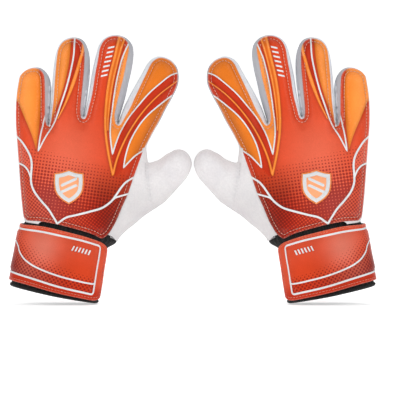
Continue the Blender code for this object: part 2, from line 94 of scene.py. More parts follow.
# ---------------------------------------------------------------- outlines and drawn lines
# (x, z) points; a doubled point is a corner
LATEX_OUTLINE = [
    (-160.1, 79.8), (-161.5, 85), (-163.7, 105.7), (-165.5, 130), (-167.3, 154.2),
    (-168.4, 172.4), (-168.2, 194.2), (-165.7, 213.6), (-163.2, 219), (-158.8, 222.8),
    (-152.8, 225.1), (-146.4, 225.1), (-141.1, 222), (-136.7, 215.6), (-134.6, 206.6),
    (-134.8, 197.1), (-135.4, 187.6), (-136.1, 179.1), (-136.7, 173.4), (-137, 170.5),
    (-137, 170.5), (-136.6, 173.4), (-135.8, 180), (-135, 188.6), (-134.3, 198.1),
    (-133.9, 206.6), (-133.4, 215.2), (-132.1, 229.4), (-130.5, 238.9), (-127.5, 246.9),
    (-122.7, 252), (-116.6, 254.2), (-110.4, 254.1), (-104.4, 251), (-100.4, 244.1),
    (-98.3, 235.1), (-97.9, 223.7), (-98.4, 212.3), (-99.3, 204.7), (-100.4, 196.2),
    (-101.7, 187.6), (-102.9, 181.4), (-103.5, 178.3), (-103.5, 178.3), (-102.6, 181.9),
    (-101.2, 188.6), (-99.6, 196.6), (-98.2, 204.7), (-96.7, 215.2), (-94.5, 227.5),
    (-92.2, 238), (-89.7, 246.2), (-85.9, 252), (-80.5, 255.5), (-74.3, 256.8),
    (-67.6, 255.8), (-61.8, 252.2), (-57.9, 247), (-56.5, 239.9), (-56.9, 231.3),
    (-58.6, 220.9), (-61.2, 209.5), (-63.7, 198.1), (-66.2, 189), (-68.3, 181.9),
    (-70, 176.2), (-70.8, 171.9), (-70.8, 171.9), (-69.6, 176.2), (-67.5, 181.6),
    (-64.9, 188.3), (-60.2, 198.1), (-54.6, 208.5), (-48.8, 219), (-43.8, 228.2),
    (-39.3, 233.3), (-33.4, 235.9), (-27.3, 235.5), (-20.1, 231.9), (-15.2, 225.8),
    (-13.4, 218.4), (-14.1, 208.1), (-19.6, 196), (-25.7, 185), (-31.7, 172.8), (-37.8, 162),
    (-42.6, 152.8), (-43.8, 149.1), (-43.8, 145.8), (-43.1, 139.7), (-42.3, 135),
    (-40.4, 134.6), (-37.2, 135.5), (-31.3, 137.8), (-25.1, 142.5), (-20.3, 144.9),
    (-17.2, 146.6), (-11.7, 147.1), (-6.4, 144.8), (-2.4, 139.9), (-0.8, 133.9),
    (-1.6, 128.7), (-4, 122.5), (-9.3, 115.4), (-17.2, 106.8), (-25.1, 98.1), (-31.3, 93.4),
    (-45.5, 84), (-54.9, 76.1), (-62.8, 69.8), (-69.1, 63.4), (-71.2, 59.8), (-71.2, 59.8),
    (-79.2, 63.6), (-95.9, 63.4), (-110.4, 67.9), (-128.8, 72.9), (-144.3, 76.1),
    (-156.8, 77.8), (-160.1, 79.8), (-160.1, 79.8)]
WRIST_CORNER = LATEX_OUTLINE[-9]
PANEL_OUTLINE = [
    (-159.3, 81.6), (-160.9, 85), (-163.1, 105.7), (-164.9, 130), (-166.7, 154.2),
    (-168, 172.4), (-167.6, 194.2), (-164.9, 213.6), (-162.7, 218.6), (-158.6, 222),
    (-152.8, 224.1), (-146.7, 223.5), (-142.6, 219.7), (-141.1, 214.2), (-140.7, 202.8),
    (-140.7, 187.6), (-140.6, 177.2), (-139.7, 171.9), (-137.3, 169), (-135, 172.4),
    (-133.9, 181), (-133.1, 193.3), (-131.8, 213.3), (-129.8, 232.9), (-128, 241.5),
    (-124.9, 247.5), (-120.1, 251.1), (-113.4, 252.5), (-107.9, 250.9), (-104.3, 246.3),
    (-102.9, 238), (-103.5, 221.8), (-105.3, 202.8), (-106.7, 188.6), (-106.8, 181),
    (-105.4, 176.6), (-103.3, 175.8), (-100.8, 179.1), (-98.9, 187.6), (-96.3, 199),
    (-93.4, 217.1), (-90.5, 232.5), (-88.5, 242.2), (-85.3, 249.4), (-80.3, 253.5),
    (-74.4, 254.9), (-67.9, 253.9), (-63.6, 250.9), (-60.9, 246.1), (-61.2, 238.9),
    (-63.6, 227), (-66.1, 214.8), (-69.2, 202.6), (-72.2, 190.6), (-74.3, 180),
    (-73.6, 172.9), (-70.9, 169.6), (-67.6, 172), (-64.1, 178.3), (-60.7, 185.7),
    (-55.9, 196.2), (-49.8, 209.1), (-43.7, 221.3), (-38.9, 229.4), (-32.8, 233.8),
    (-26.6, 233.6), (-20.4, 230.4), (-16.1, 224.7), (-14.4, 218), (-15.1, 208.5),
    (-20.5, 196.6), (-26.6, 185.5), (-32.6, 173.4), (-38.7, 162.5), (-43.5, 153.2),
    (-47.1, 145.8), (-52, 132.4), (-56.8, 119), (-61.7, 104.5), (-66.6, 93.7), (-72.6, 79.3),
    (-77.2, 70.8), (-80.1, 66.4), (-83.1, 63.6), (-86.5, 62.9), (-95.9, 66.4),
    (-110.4, 70.8), (-128.8, 75.5), (-144.3, 78.4), (-154.6, 79.1), (-157.8, 79.7),
    (-159.3, 81.6), (-159.3, 81.6)]
# white lines of the back panel
RING_WHITE = [
    (-112.2, 256), (-112.8, 239), (-115.2, 224.5), (-120.1, 205.1), (-126.2, 187),
    (-131, 173.6), (-139.5, 159), (-146.7, 145.2), (-146.7, 145.2), (-144.5, 160.3),
    (-141.8, 173.6), (-139.9, 180)]
MIDDLE_WHITE = [
    (-59.1, 251.8), (-61.3, 246.9), (-66.8, 234.2), (-70.4, 220.9), (-73.4, 206.3),
    (-75.8, 190.6), (-77.9, 174.8), (-78.3, 160.3), (-76.2, 142.1)]
INDEX_UPPER_WHITE = [
    (-76.2, 142.1), (-72.8, 153), (-67.9, 165.1), (-60.7, 177.3), (-51, 189.3),
    (-41.3, 200.3), (-30.4, 209.9), (-20.7, 217.3), (-12.1, 220.4)]
INDEX_LOWER_WHITE = [
    (-12.1, 202.8), (-21.9, 196.6), (-32.8, 188.1), (-43.7, 178.4), (-52.2, 167.6),
    (-59.5, 154.2), (-63.7, 140.9), (-65.7, 129.4), (-65.7, 129.4), (-60.7, 134.8),
    (-54.6, 140.9), (-47.3, 145.7), (-43.4, 148.7)]
LOW_THUMB_WHITE = [
    (-52, 122.5), (-55.9, 120.3), (-63.1, 116), (-67.9, 110.6), (-72.8, 103.4),
    (-77.6, 97.3), (-86.2, 91.2), (-98.2, 87.6), (-110.4, 84.5), (-120.1, 82.1),
    (-128.9, 76.3)]
THUMB_BRANCH_WHITE = [
    (-57.7, 105.2), (-61.3, 104.5), (-67.9, 102.7), (-73.4, 100.9), (-77, 97.8)]
LOW_LITTLE_WHITE = [
    (-170.7, 162), (-167.1, 159), (-162.4, 154.2), (-157.6, 147), (-154, 139.7),
    (-152.8, 132.4), (-153.3, 123.9), (-153.3, 115.4), (-150.4, 107), (-144.3, 98.5),
    (-137, 90), (-131.6, 81.2), (-128.9, 76.3)]
LITTLE_BRANCH_WHITE = [
    (-168.8, 134.9), (-164.9, 133.6), (-160.1, 131.2), (-156.4, 126.9), (-153.8, 120.6)]
# orange lines of the back panel
RING_ORANGE = [
    (-103.8, 247), (-104.6, 240.8), (-106.9, 232.3), (-110, 220.9), (-114.8, 206.3),
    (-120.9, 190.6), (-128.2, 175.8)]
MIDDLE_OUTER_ORANGE = [
    (-69.4, 257), (-70.4, 250.3), (-73.9, 235.1), (-77.5, 220.9), (-80.2, 206.3),
    (-82.1, 190.6), (-83, 174.8), (-82.4, 160.3), (-79.9, 142.1), (-75.8, 122.5),
    (-75.8, 122.5), (-72.8, 134.8), (-67.9, 148.1), (-60.7, 162.7), (-52.2, 176),
    (-42.5, 188.1), (-31.6, 199), (-20.7, 207.6), (-12.1, 213.8)]
MIDDLE_INNER_ORANGE = [
    (-63.8, 256), (-65.5, 250.3), (-70.4, 234.2), (-73.9, 219.9), (-76.8, 205.7),
    (-79, 190), (-80.4, 174.8), (-80.3, 164.8)]
# points, half widths at start, middle and end, kind
STROKE_TABLE = {
    "ring": (RING_WHITE, (0.72, 0.75, 0.6), "white"),
    "middle and index": (MIDDLE_WHITE + INDEX_UPPER_WHITE, (0.62, 0.66, 0.6), "white"),
    "index lower": (INDEX_LOWER_WHITE, (0.6, 0.66, 0.65), "white"),
    "low thumb side": (LOW_THUMB_WHITE, (0.85, 0.95, 0.9), "white"),
    "thumb branch": (THUMB_BRANCH_WHITE, (0.75, 0.8, 0.8), "white"),
    "low little side": (LOW_LITTLE_WHITE, (0.85, 0.98, 0.9), "white"),
    "little branch": (LITTLE_BRANCH_WHITE, (0.75, 0.8, 0.75), "white"),
    "ring stripe": (RING_ORANGE, (1.2, 1.7, 0.5), "orange"),
    "middle outer stripe": (MIDDLE_OUTER_ORANGE, (1.3, 1.1, 0.5), "orange"),
    "middle inner stripe": (MIDDLE_INNER_ORANGE, (1.0, 0.95, 0.5), "orange"),
}
# pressed borders between colours
LITTLE_BORDER = [
    (-183.1, 231.3), (-183.1, 195.2), (-168.8, 194.3), (-166.1, 191.8), (-158.8, 174.8),
    (-152.8, 160.3), (-148.5, 146.3), (-148.5, 146.3), (-146.7, 162.7), (-144.8, 184.5),
    (-143.8, 202.6), (-144.1, 214.8), (-146, 220.9), (-148.9, 231.3)]
RING_LEFT_BORDER = [
    (-115.4, 259.8), (-115.4, 251.2), (-117, 232.9), (-120.4, 214.8), (-125.7, 196.6),
    (-133.1, 177.3), (-136.5, 166.7)]
RING_RIGHT_BORDER = [(-106.6, 174.3), (-105, 193.3), (-102.8, 219.9), (-102.3, 240.8)]
# colour zones: the lines that bound them, closed by points off the panel
ZONE_TABLE = {
    "little_orange": [(-183.1, 240.8)] + LITTLE_BORDER[1:-1] + [(-148.9, 240.8)],
    "ring_orange": [(-138.4, 259.8)] + RING_LEFT_BORDER + [(-138.4, 170.5)],
    "ring_dark": [(-112.2, 259.8), (-112.2, 252.2)] + RING_WHITE[1:5] + [(-130.8, 173.8)]
    + RING_ORANGE[:0:-1] + [(-103.3, 250.3), (-103.3, 259.8)],
    "mid_index_orange": [(-59.1, 259.8)] + MIDDLE_WHITE + INDEX_UPPER_WHITE
    + [(-2.6, 250.3), (-40.6, 259.8)],
    "index_dark": INDEX_UPPER_WHITE + INDEX_LOWER_WHITE[:8] + [(-71.9, 121.1), (-75.8, 122.5)],
    "index_patch": [(-2.6, 204.7)] + INDEX_LOWER_WHITE[:-1] + [(-31.1, 148.7), (-2.6, 193.3)],
    "side_left": [(-187.8, 134.9)] + LITTLE_BRANCH_WHITE + LOW_LITTLE_WHITE[7:]
    + [(-128.9, 60.3), (-187.8, 60.3)],
    "side_right": [(-128.9, 60.3)] + LOW_THUMB_WHITE[:4:-1] + THUMB_BRANCH_WHITE[3:0:-1]
    + [(-45.3, 107.8), (-45.3, 50.8)],
    "side_top": [(-187.8, 164.8)] + LOW_LITTLE_WHITE[:7] + LITTLE_BRANCH_WHITE[::-1]
    + [(-187.8, 134.9)],
    "thumb_edge": LOW_THUMB_WHITE[1:5] + THUMB_BRANCH_WHITE[2:0:-1]
    + [(-45.3, 107.8), (-45.3, 124.9)],
}
THUMB_SEAM = [(-42.8, 134.4), (-41.9, 123), (-40.9, 112.6), (-40, 105), (-39.2, 95.5)]
GUSSET_LINE = [(-45.5, 139), (-55, 126), (-63, 110), (-69, 92), (-74.5, 70)]
HEM_LINE = [
    (-157.5, 84.6), (-144.5, 82.4), (-128.8, 79.4), (-110.4, 74.4), (-95.9, 70.2),
    (-81, 69.4), (-73.2, 66.2)]
PALM_LINES = [
    [(-157, 152), (-138, 147), (-112, 147), (-84, 154)],
    [(-74, 160), (-88, 140), (-95, 112), (-93, 84)],
    [(-150, 118), (-128, 128), (-100, 130)]]
SHIELD_OUTLINE = [
    (-117.5, 94.6), (-117.5, 94.6), (-110.5, 99), (-105, 105.5), (-103.2, 114),
    (-103.4, 124.2), (-103.4, 124.2), (-110.5, 125.4), (-117.5, 127.6), (-117.5, 127.6),
    (-124.5, 125.4), (-131.6, 124.2), (-131.6, 124.2), (-131.8, 114), (-130, 105.5),
    (-124.5, 99), (-117.5, 94.6), (-117.5, 94.6)]
# the strap's curved line: (across, up) from the cuff's origin, seen from the back of the hand
STRAP_CURVE = [
    (-41, 36.8), (-39.7, 34.1), (-36.9, 30.7), (-33.4, 27.8), (-30, 25.8), (-23.4, 23.2),
    (-16.4, 21.5), (-8.6, 20.1), (-1.7, 19.2), (5.5, 18.4), (12.8, 17.8), (19.4, 17.4),
    (25.6, 17), (32.2, 17.1), (39, 17.5)]


# ---------------------------------------------------------------- curves and distances
def lengths_along(points):
    return np.r_[0, np.cumsum(np.linalg.norm(np.diff(points, axis=0), axis=1))]


def at_lengths(line, lengths, wanted):
    """Points of a line at the wanted lengths along it."""
    return np.c_[np.interp(wanted, lengths, line[:, 0]), np.interp(wanted, lengths, line[:, 1])]


def run_curve(points, step):
    """Smooth curve through the points, cut into even steps."""
    if len(points) == 2:
        dense = np.linspace(points[0], points[1], 20)
    else:
        ext = np.vstack([2 * points[0] - points[1], points, 2 * points[-1] - points[-2]])
        t = np.linspace(0, 1, 14, endpoint=False)[:, None]
        spans = []
        for i in range(1, len(ext) - 2):
            a, b, c, d = ext[i - 1:i + 3]
            spans.append(0.5 * (2 * b + (c - a) * t + (2 * a - 5 * b + 4 * c - d) * t ** 2
                                + (3 * b - a - 3 * c + d) * t ** 3))
        dense = np.vstack(spans + [ext[-2][None]])
    lengths = lengths_along(dense)
    count = max(1, int(round(lengths[-1] / step)))
    return at_lengths(dense, lengths, np.linspace(0, lengths[-1], count + 1))


def curve(points, step):
    """Smooth runs through the points, joined at the doubled ones."""
    points = np.array(points, float)
    runs, start = [], 0
    for i in range(1, len(points)):
        if np.allclose(points[i], points[i - 1]):
            if i - start >= 2:
                runs.append(run_curve(points[start:i], step))
            start = i
    if len(points) - start >= 2:
        runs.append(run_curve(points[start:], step))
    return np.vstack(runs[:1] + [run[1:] for run in runs[1:]])


def open_loop(line):
    """A closed line without its repeated last point."""
    return line[:-1] if np.allclose(line[0], line[-1]) else line


def segment_distance(points, starts, ends, block=1500):
    """Distance of each point to the nearest segment, and that segment's number."""
    way = ends - starts
    square = np.maximum((way ** 2).sum(1), 1e-12)
    best, which = np.empty(len(points)), np.empty(len(points), int)
    for i in range(0, len(points), block):
        gap = points[i:i + block, None, :] - starts[None]
        t = np.clip((gap * way).sum(2) / square, 0, 1)
        apart = ((gap - t[..., None] * way) ** 2).sum(2)
        nearest = apart.argmin(1)
        which[i:i + block] = nearest
        best[i:i + block] = np.sqrt(apart[np.arange(len(nearest)), nearest])
    return best, which


def nearest_on(points, line):
    return segment_distance(points, line[:-1], line[1:])


def line_distance(points, line):
    return nearest_on(points, line)[0]


def inside(points, polygon):
    hit = np.zeros(len(points), bool)
    for (x0, z0), (x1, z1) in zip(polygon, np.roll(polygon, -1, 0)):
        if z0 == z1:
            continue
        crossing_x = (x1 - x0) * (points[:, 1] - z0) / (z1 - z0) + x0
        hit ^= ((points[:, 1] < z0) != (points[:, 1] < z1)) & (points[:, 0] < crossing_x)
    return hit


def ease(t):
    """Smooth step from 0 to 1."""
    t = np.clip(t, 0, 1)
    return t * t * (3 - 2 * t)


def bell(distance, width):
    return np.exp(-(distance / width) ** 2)


def dome(t):
    """Half-round profile: 1 at t = 0, 0 from t = 1 on."""
    return np.sqrt(np.maximum(0, 1 - t ** 2))


def offset_line(line, distance):
    """The line moved to its left; the distance may vary along it."""
    way = np.gradient(line, axis=0)
    way /= np.maximum(np.linalg.norm(way, axis=1), 1e-9)[:, None]
    left = np.c_[-way[:, 1], way[:, 0]]
    return line + left * (distance[:, None] if np.ndim(distance) else distance)


def with_sides(line, distance):
    return [line, offset_line(line, distance), offset_line(line, -distance)]


def inward_normals(loop):
    following = np.roll(loop, -1, 0)
    way = following - np.roll(loop, 1, 0)
    way /= np.maximum(np.linalg.norm(way, axis=1), 1e-9)[:, None]
    area = 0.5 * np.sum(loop[:, 0] * following[:, 1] - following[:, 0] * loop[:, 1])
    return np.c_[-way[:, 1], way[:, 0]] * (1 if area > 0 else -1)


def across(point, direction, half):
    """A cut line through the point, square to the direction."""
    side = np.array([direction[1], -direction[0]])
    return point + side * half * np.linspace(-1, 1, int(2 * half / 1.4) + 1)[:, None]


# ---------------------------------------------------------------- the hand's form
class Finger:
    """A finger's axis; the other values are distances along it from the root line."""

    def __init__(self, name, base, tip, middle, start, end):
        self.name = name
        self.base = np.array(base)
        reach = np.array(tip) - self.base
        self.along = reach / np.linalg.norm(reach)
        self.side = np.array([self.along[1], -self.along[0]])
        self.middle = middle                              # middle joint
        self.start, self.end = start, end                 # bend at the root
        self.middle_cut = (end + middle - MIDDLE_BEND) / 2

    def at(self, along, side=0.0):
        return self.base + self.along * along + self.side * side


FINGERS = [
    Finger("index", (-48.7, 173.4), (-27.6, 217.1), middle=30.0, start=-7.0, end=7.5),
    Finger("middle", (-86.2, 183.5), (-73.8, 240.8), middle=34.0, start=-7.0, end=7.5),
    Finger("ring", (-120.4, 183.4), (-116.1, 238.9), middle=32.0, start=-3.2, end=9.0),
    Finger("little", (-153.6, 176.2), (-152.7, 210.9), middle=22.0, start=-4.8, end=6.5),
]
AXIS_SHIFT = 1.5      # cuts and creases are centred this far to the thumb side of the axis


def soften(values, sigma=7):
    kernel = np.exp(-0.5 * (np.arange(-3 * sigma, 3 * sigma + 1) / sigma) ** 2)
    kernel /= kernel.sum()
    return np.convolve(np.pad(values, 3 * sigma, mode="edge"), kernel, "valid")


# the stations refined to 20 steps each
STATIONS = np.arange(8)
FINE = np.linspace(0, 7, 141)
BACK_DEPTH, PALM_DEPTH = (
    soften(np.interp(FINE, STATIONS, [row[i] for row in HAND])) for i in (2, 3))
ROLL_RADIUS = soften(np.interp(FINE, [0, 3, 4.6, 6.0, 7], [29, 29, 25, 14.5, 13.0]))
(LITTLE_X, LITTLE_Z), (THUMB_X, THUMB_Z) = (
    [np.interp(FINE, STATIONS, [row[i][axis] for row in HAND]) for axis in (0, 1)]
    for i in (0, 1))


def hand_station(points):
    """How far up the fine stations each point lies."""
    station = np.empty(len(points))
    for first in range(0, len(points), 4000):
        some = points[first:first + 4000]
        side = (some[:, :1] - LITTLE_X) / (THUMB_X - LITTLE_X)
        levels = LITTLE_Z + (THUMB_Z - LITTLE_Z) * side
        low = np.clip((levels <= some[:, 1:]).sum(1) - 1, 0, len(FINE) - 2)
        each = np.arange(len(some))
        height = levels[each, low]
        gap = np.maximum(levels[each, low + 1] - height, 1e-6)
        station[first:first + 4000] = low + np.clip((some[:, 1] - height) / gap, 0, 1)
    return station


def finger_of(points):
    """For each point: nearest finger number, distance along it from its root, distance across."""
    along = np.array([(points - finger.base) @ finger.along for finger in FINGERS])
    side = np.array([(points - finger.base) @ finger.side for finger in FINGERS])
    nearest = np.abs(side).argmin(0)
    each = np.arange(len(points))
    return nearest, along[nearest, each], side[nearest, each]


def lumps(points, scale, seed):
    return np.array([noise.noise(Vector((x * scale, z * scale, seed))) for x, z in points])


latex_line = curve(LATEX_OUTLINE, 1.5)
wrist_from = int(np.argmin(np.linalg.norm(latex_line - np.array([WRIST_CORNER]), axis=1)))
LATEX_SIDES = latex_line[:wrist_from + 1]
WRIST_EDGE = latex_line[wrist_from:]      # the open wrist end

# back and palm depth, bow towards the palm, distance to the latex sides, distance across a finger
Form = namedtuple("Form", "back palm bow edge side")


def form(points):
    x, z = points[:, 0], points[:, 1]
    station = hand_station(points)
    back, palm, roll = (np.interp(station, np.arange(len(FINE)), values)
                        for values in (BACK_DEPTH, PALM_DEPTH, ROLL_RADIUS))
    thumb = ease((x + 66) / 26) * (1 - ease((z - 136) / 14))
    back = back + (13.2 - back) * thumb
    palm = palm + (13.6 - palm) * thumb
    roll = roll + (14.0 - roll) * thumb
    edge = line_distance(points, LATEX_SIDES)
    pillow = np.sqrt(np.maximum(0, 1 - (1 - np.clip(edge / roll, 0, 1)) ** 2.2))
    _, along, side = finger_of(points)
    bow = np.where(z > 152, PRE_CURVE * np.maximum(along, 0) ** 2, 0)
    tip = np.where(z > 165, ease((along - 30) / 40), 0)
    return Form(back * pillow * (1 - 0.10 * tip), palm * pillow * (1 - 0.06 * tip),
                bow, edge, side)


def seen(points):
    """Lines are drawn as they look from 1.5 m in front; this puts them on the raised skin."""
    points = np.array(points, float)
    shape = form(points)
    y = np.where(inside(points, latex_line), -shape.back + shape.bow, 0)
    return EYE + (points - EYE) * ((EYE_DISTANCE + y) / EYE_DISTANCE)[:, None]


def set_in(points):
    """Moves the panel's edge inwards on each finger's little-finger side, baring the foam wall."""
    nearest, along, side = finger_of(points)
    way = np.array([finger.side for finger in FINGERS])[nearest]
    far = np.array([finger.middle for finger in FINGERS])[nearest] + 10
    amount = np.array([0.8, 0.5, 0.9, 0.0])[nearest]      # index, middle, ring, little
    amount = amount * ease((along + 4) / 10) * ease(-side / 5) * (points[:, 1] > 165)
    return points + way * (amount * (1 - ease((along - far) / 14)))[:, None]


panel_line = curve(set_in(seen(PANEL_OUTLINE)), 1.2)


# ---------------------------------------------------------------- meshes
def triangulate(outline, lines, points):
    """Triangles filling the outline, with edges along the lines and corners at the points."""
    coords, edges = [], []

    def chain(line, loop=False):
        first = len(coords)
        coords.extend(map(tuple, line))
        edges.extend((first + i, first + i + 1) for i in range(len(line) - 1))
        if loop:
            edges.append((first + len(line) - 1, first))

    chain(open_loop(outline), True)
    for line in lines:
        chain(line)
    coords.extend(map(tuple, points))
    flat, _, faces, *_ = delaunay_2d_cdt([Vector(c) for c in coords], edges, [], 0, 1e-3)
    flat = np.array([tuple(v) for v in flat])
    faces = np.array([face for face in faces if len(face) == 3])
    faces = faces[inside(flat[faces].mean(1), outline)]
    a, b, c = flat[faces[:, 0]], flat[faces[:, 1]], flat[faces[:, 2]]
    area = (b[:, 0] - a[:, 0]) * (c[:, 1] - a[:, 1]) - (b[:, 1] - a[:, 1]) * (c[:, 0] - a[:, 0])
    faces[area < 0] = faces[area < 0][:, ::-1]
    faces = faces[np.abs(area) > 1e-6]
    used, renumbered = np.unique(faces, return_inverse=True)
    return flat[used], renumbered.reshape(faces.shape)


def fill_points(outline, lines, rings, spacing):
    """Rings of points along the outline, then a triangular grid, all kept off the drawn lines."""
    loop = open_loop(outline)
    rim = np.vstack([loop, loop[:1]])
    inward = inward_normals(loop)
    groups = []
    for inset in rings:
        ring = (loop + inward * inset)[::1 if inset < 5 else 2]
        groups.append(ring[(line_distance(ring, rim) > 0.93 * inset) & inside(ring, loop)])
    low, high = loop.min(0), loop.max(0)
    grid = []
    for i, z in enumerate(np.arange(low[1], high[1], spacing * math.sqrt(3) / 2)):
        xs = np.arange(low[0] + (spacing / 2 if i % 2 else 0), high[0], spacing)
        grid.append(np.c_[xs, np.full(len(xs), z)])
    grid = np.vstack(grid)
    grid = grid[inside(grid, loop)]
    groups.append(grid[line_distance(grid, rim) > rings[-1] + spacing * 0.55])
    points = np.vstack(groups)
    starts = np.vstack([line[:-1] for line in lines])
    ends = np.vstack([line[1:] for line in lines])
    return points[segment_distance(points, starts, ends)[0] > 0.45 * spacing * 0.75]


def vertex_normals(verts, faces):
    a, b, c = verts[faces[:, 0]], verts[faces[:, 1]], verts[faces[:, 2]]
    face_normals = np.cross(b - a, c - a)
    normals = np.zeros_like(verts)
    for i in range(3):
        np.add.at(normals, faces[:, i], face_normals)
    return normals / np.maximum(np.linalg.norm(normals, axis=1), 1e-12)[:, None]


def faces_out(verts, faces, centre, count=None):
    """Whether the first count vertices' normals point away from the centre."""
    return ((verts - centre) * vertex_normals(verts, faces))[:count].sum() >= 0


def loft(rows, close=True):
    """Triangles over a grid of rows; close joins each row's ends."""
    count, width = rows.shape[:2]
    row, column = np.mgrid[:count - 1, :width if close else width - 1]
    a, b = row * width + column, row * width + (column + 1) % width
    faces = np.stack([a, b, b + width, a, b + width, a + width], -1).reshape(-1, 3)
    return rows.reshape(-1, 3), faces


def loft_ring(rows):
    """Loft over closed rows, the last joined back to the first."""
    verts, faces = loft(np.array(rows + rows[:1]))
    verts = verts[:-len(rows[0])]
    return verts, faces % len(verts)


def edge_wall(faces, top, under, rim=None):
    """Wall between a sheet's open edges and those below.

    rim limits it to edges between marked vertices. Gives the wall's vertices and faces, the
    sheet face behind each wall face and the sheet vertex behind each wall vertex.
    """
    edges = np.vstack([faces[:, [0, 1]], faces[:, [1, 2]], faces[:, [2, 0]]])
    owner = np.tile(np.arange(len(faces)), 3)
    _, first, count = np.unique(np.sort(edges, 1), axis=0, return_index=True, return_counts=True)
    first = first[count == 1]
    if rim is not None:
        first = first[rim[edges[first]].all(1)]
    (start, end), owner = edges[first].T, owner[first]
    size = len(start)
    verts = np.vstack([top[start], top[end], under[end], under[start]])
    i = np.arange(size)
    wall = np.vstack([np.c_[i, i + 3 * size, i + 2 * size], np.c_[i, i + 2 * size, i + size]])
    return verts, wall, np.tile(owner, 2), np.concatenate([start, end, end, start])


class Skin:
    """Triangles and their looks, in left-glove millimetres, gathered for one piece."""

    def __init__(self, *parts):
        self.parts = list(parts)
        self.count = sum(len(part[0]) for part in parts)

    def add(self, verts, faces, paint, corner_normals=None, pattern=None, dots=None):
        """paint: one colour, or one per corner; pattern: texture position per vertex;
        dots: the two halftones' radii per corner."""
        if corner_normals is None:
            corner_normals = vertex_normals(verts, faces)[faces]
        self.parts.append((
            verts, faces + self.count, corner_normals,
            np.broadcast_to(paint, (len(faces), 3, 3)),
            verts if pattern is None else pattern,
            np.zeros((len(faces), 3, 2)) if dots is None else dots))
        self.count += len(verts)

    def joined(self):
        return tuple(np.concatenate(values) for values in zip(*self.parts))

    def pick(self, keep):
        """A new skin with only the kept faces."""
        verts, faces, normals, paint, pattern, dots = self.joined()
        return Skin((verts, faces[keep], normals[keep], paint[keep], pattern, dots[keep]))


def add_attribute(mesh, name, kind, domain, values):
    data = mesh.attributes.new(name, kind, domain).data
    field = "color" if kind == "FLOAT_COLOR" else "vector"
    data.foreach_set(field, values.astype(np.float32).ravel())


def glove_mesh(name, verts, faces, normals, paint, pattern, dots):
    corners = len(faces) * 3
    mesh = bpy.data.meshes.new(name)
    mesh.vertices.add(len(verts))
    mesh.vertices.foreach_set("co", verts.astype(np.float32).ravel())
    mesh.loops.add(corners)
    mesh.loops.foreach_set("vertex_index", faces.astype(np.int32).ravel())
    mesh.polygons.add(len(faces))
    mesh.polygons.foreach_set("loop_start", np.arange(0, corners, 3, dtype=np.int32))
    mesh.update(calc_edges=True)
    mesh.polygons.foreach_set("use_smooth", np.ones(len(faces), bool))
    last_axis = ((0, 0), (0, 0), (0, 1))
    add_attribute(mesh, "pat", "FLOAT_VECTOR", "POINT", pattern)
    add_attribute(mesh, "dots", "FLOAT_VECTOR", "CORNER", np.pad(dots, last_axis))
    add_attribute(mesh, "paint", "FLOAT_COLOR", "CORNER",
                  np.pad(paint, last_axis, constant_values=1))
    mesh.validate()
    # validate may drop a bad face, and the normals would then no longer match
    if len(mesh.loops) == corners:
        mesh.normals_split_custom_set(np.asarray(normals, float).reshape(-1, 3).tolist())
    return mesh


def piece(name, skin, material, slot, replaced, body=None, bend=None):
    """The left piece and its mirror image, each riding a body or bending between two.

    bend: the two bodies' names, then the (x, y, z) start and end of the blend.
    """
    verts, faces, normals, paint, pattern, dots = skin.joined()
    used, renumbered = np.unique(faces, return_inverse=True)
    faces = renumbered.reshape(faces.shape)
    verts, pattern = verts[used], pattern[used]
    for side, order, mirror in (("L_", 1, 1), ("R_", -1, -1)):
        flip = np.array([mirror, 1, 1])
        mesh = glove_mesh(side + name, (verts * flip + SHIFT) * MM, faces[:, ::order],
                          normals[:, ::order] * flip, paint[:, ::order], pattern,
                          dots[:, ::order])
        mesh.materials.append(material)
        obj = bpy.data.objects.new(side + name, mesh)
        bpy.context.scene.collection.objects.link(obj)
        if bend:
            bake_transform(obj)
        else:
            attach(obj, side + body)
        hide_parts(*[side + node for node in replaced])


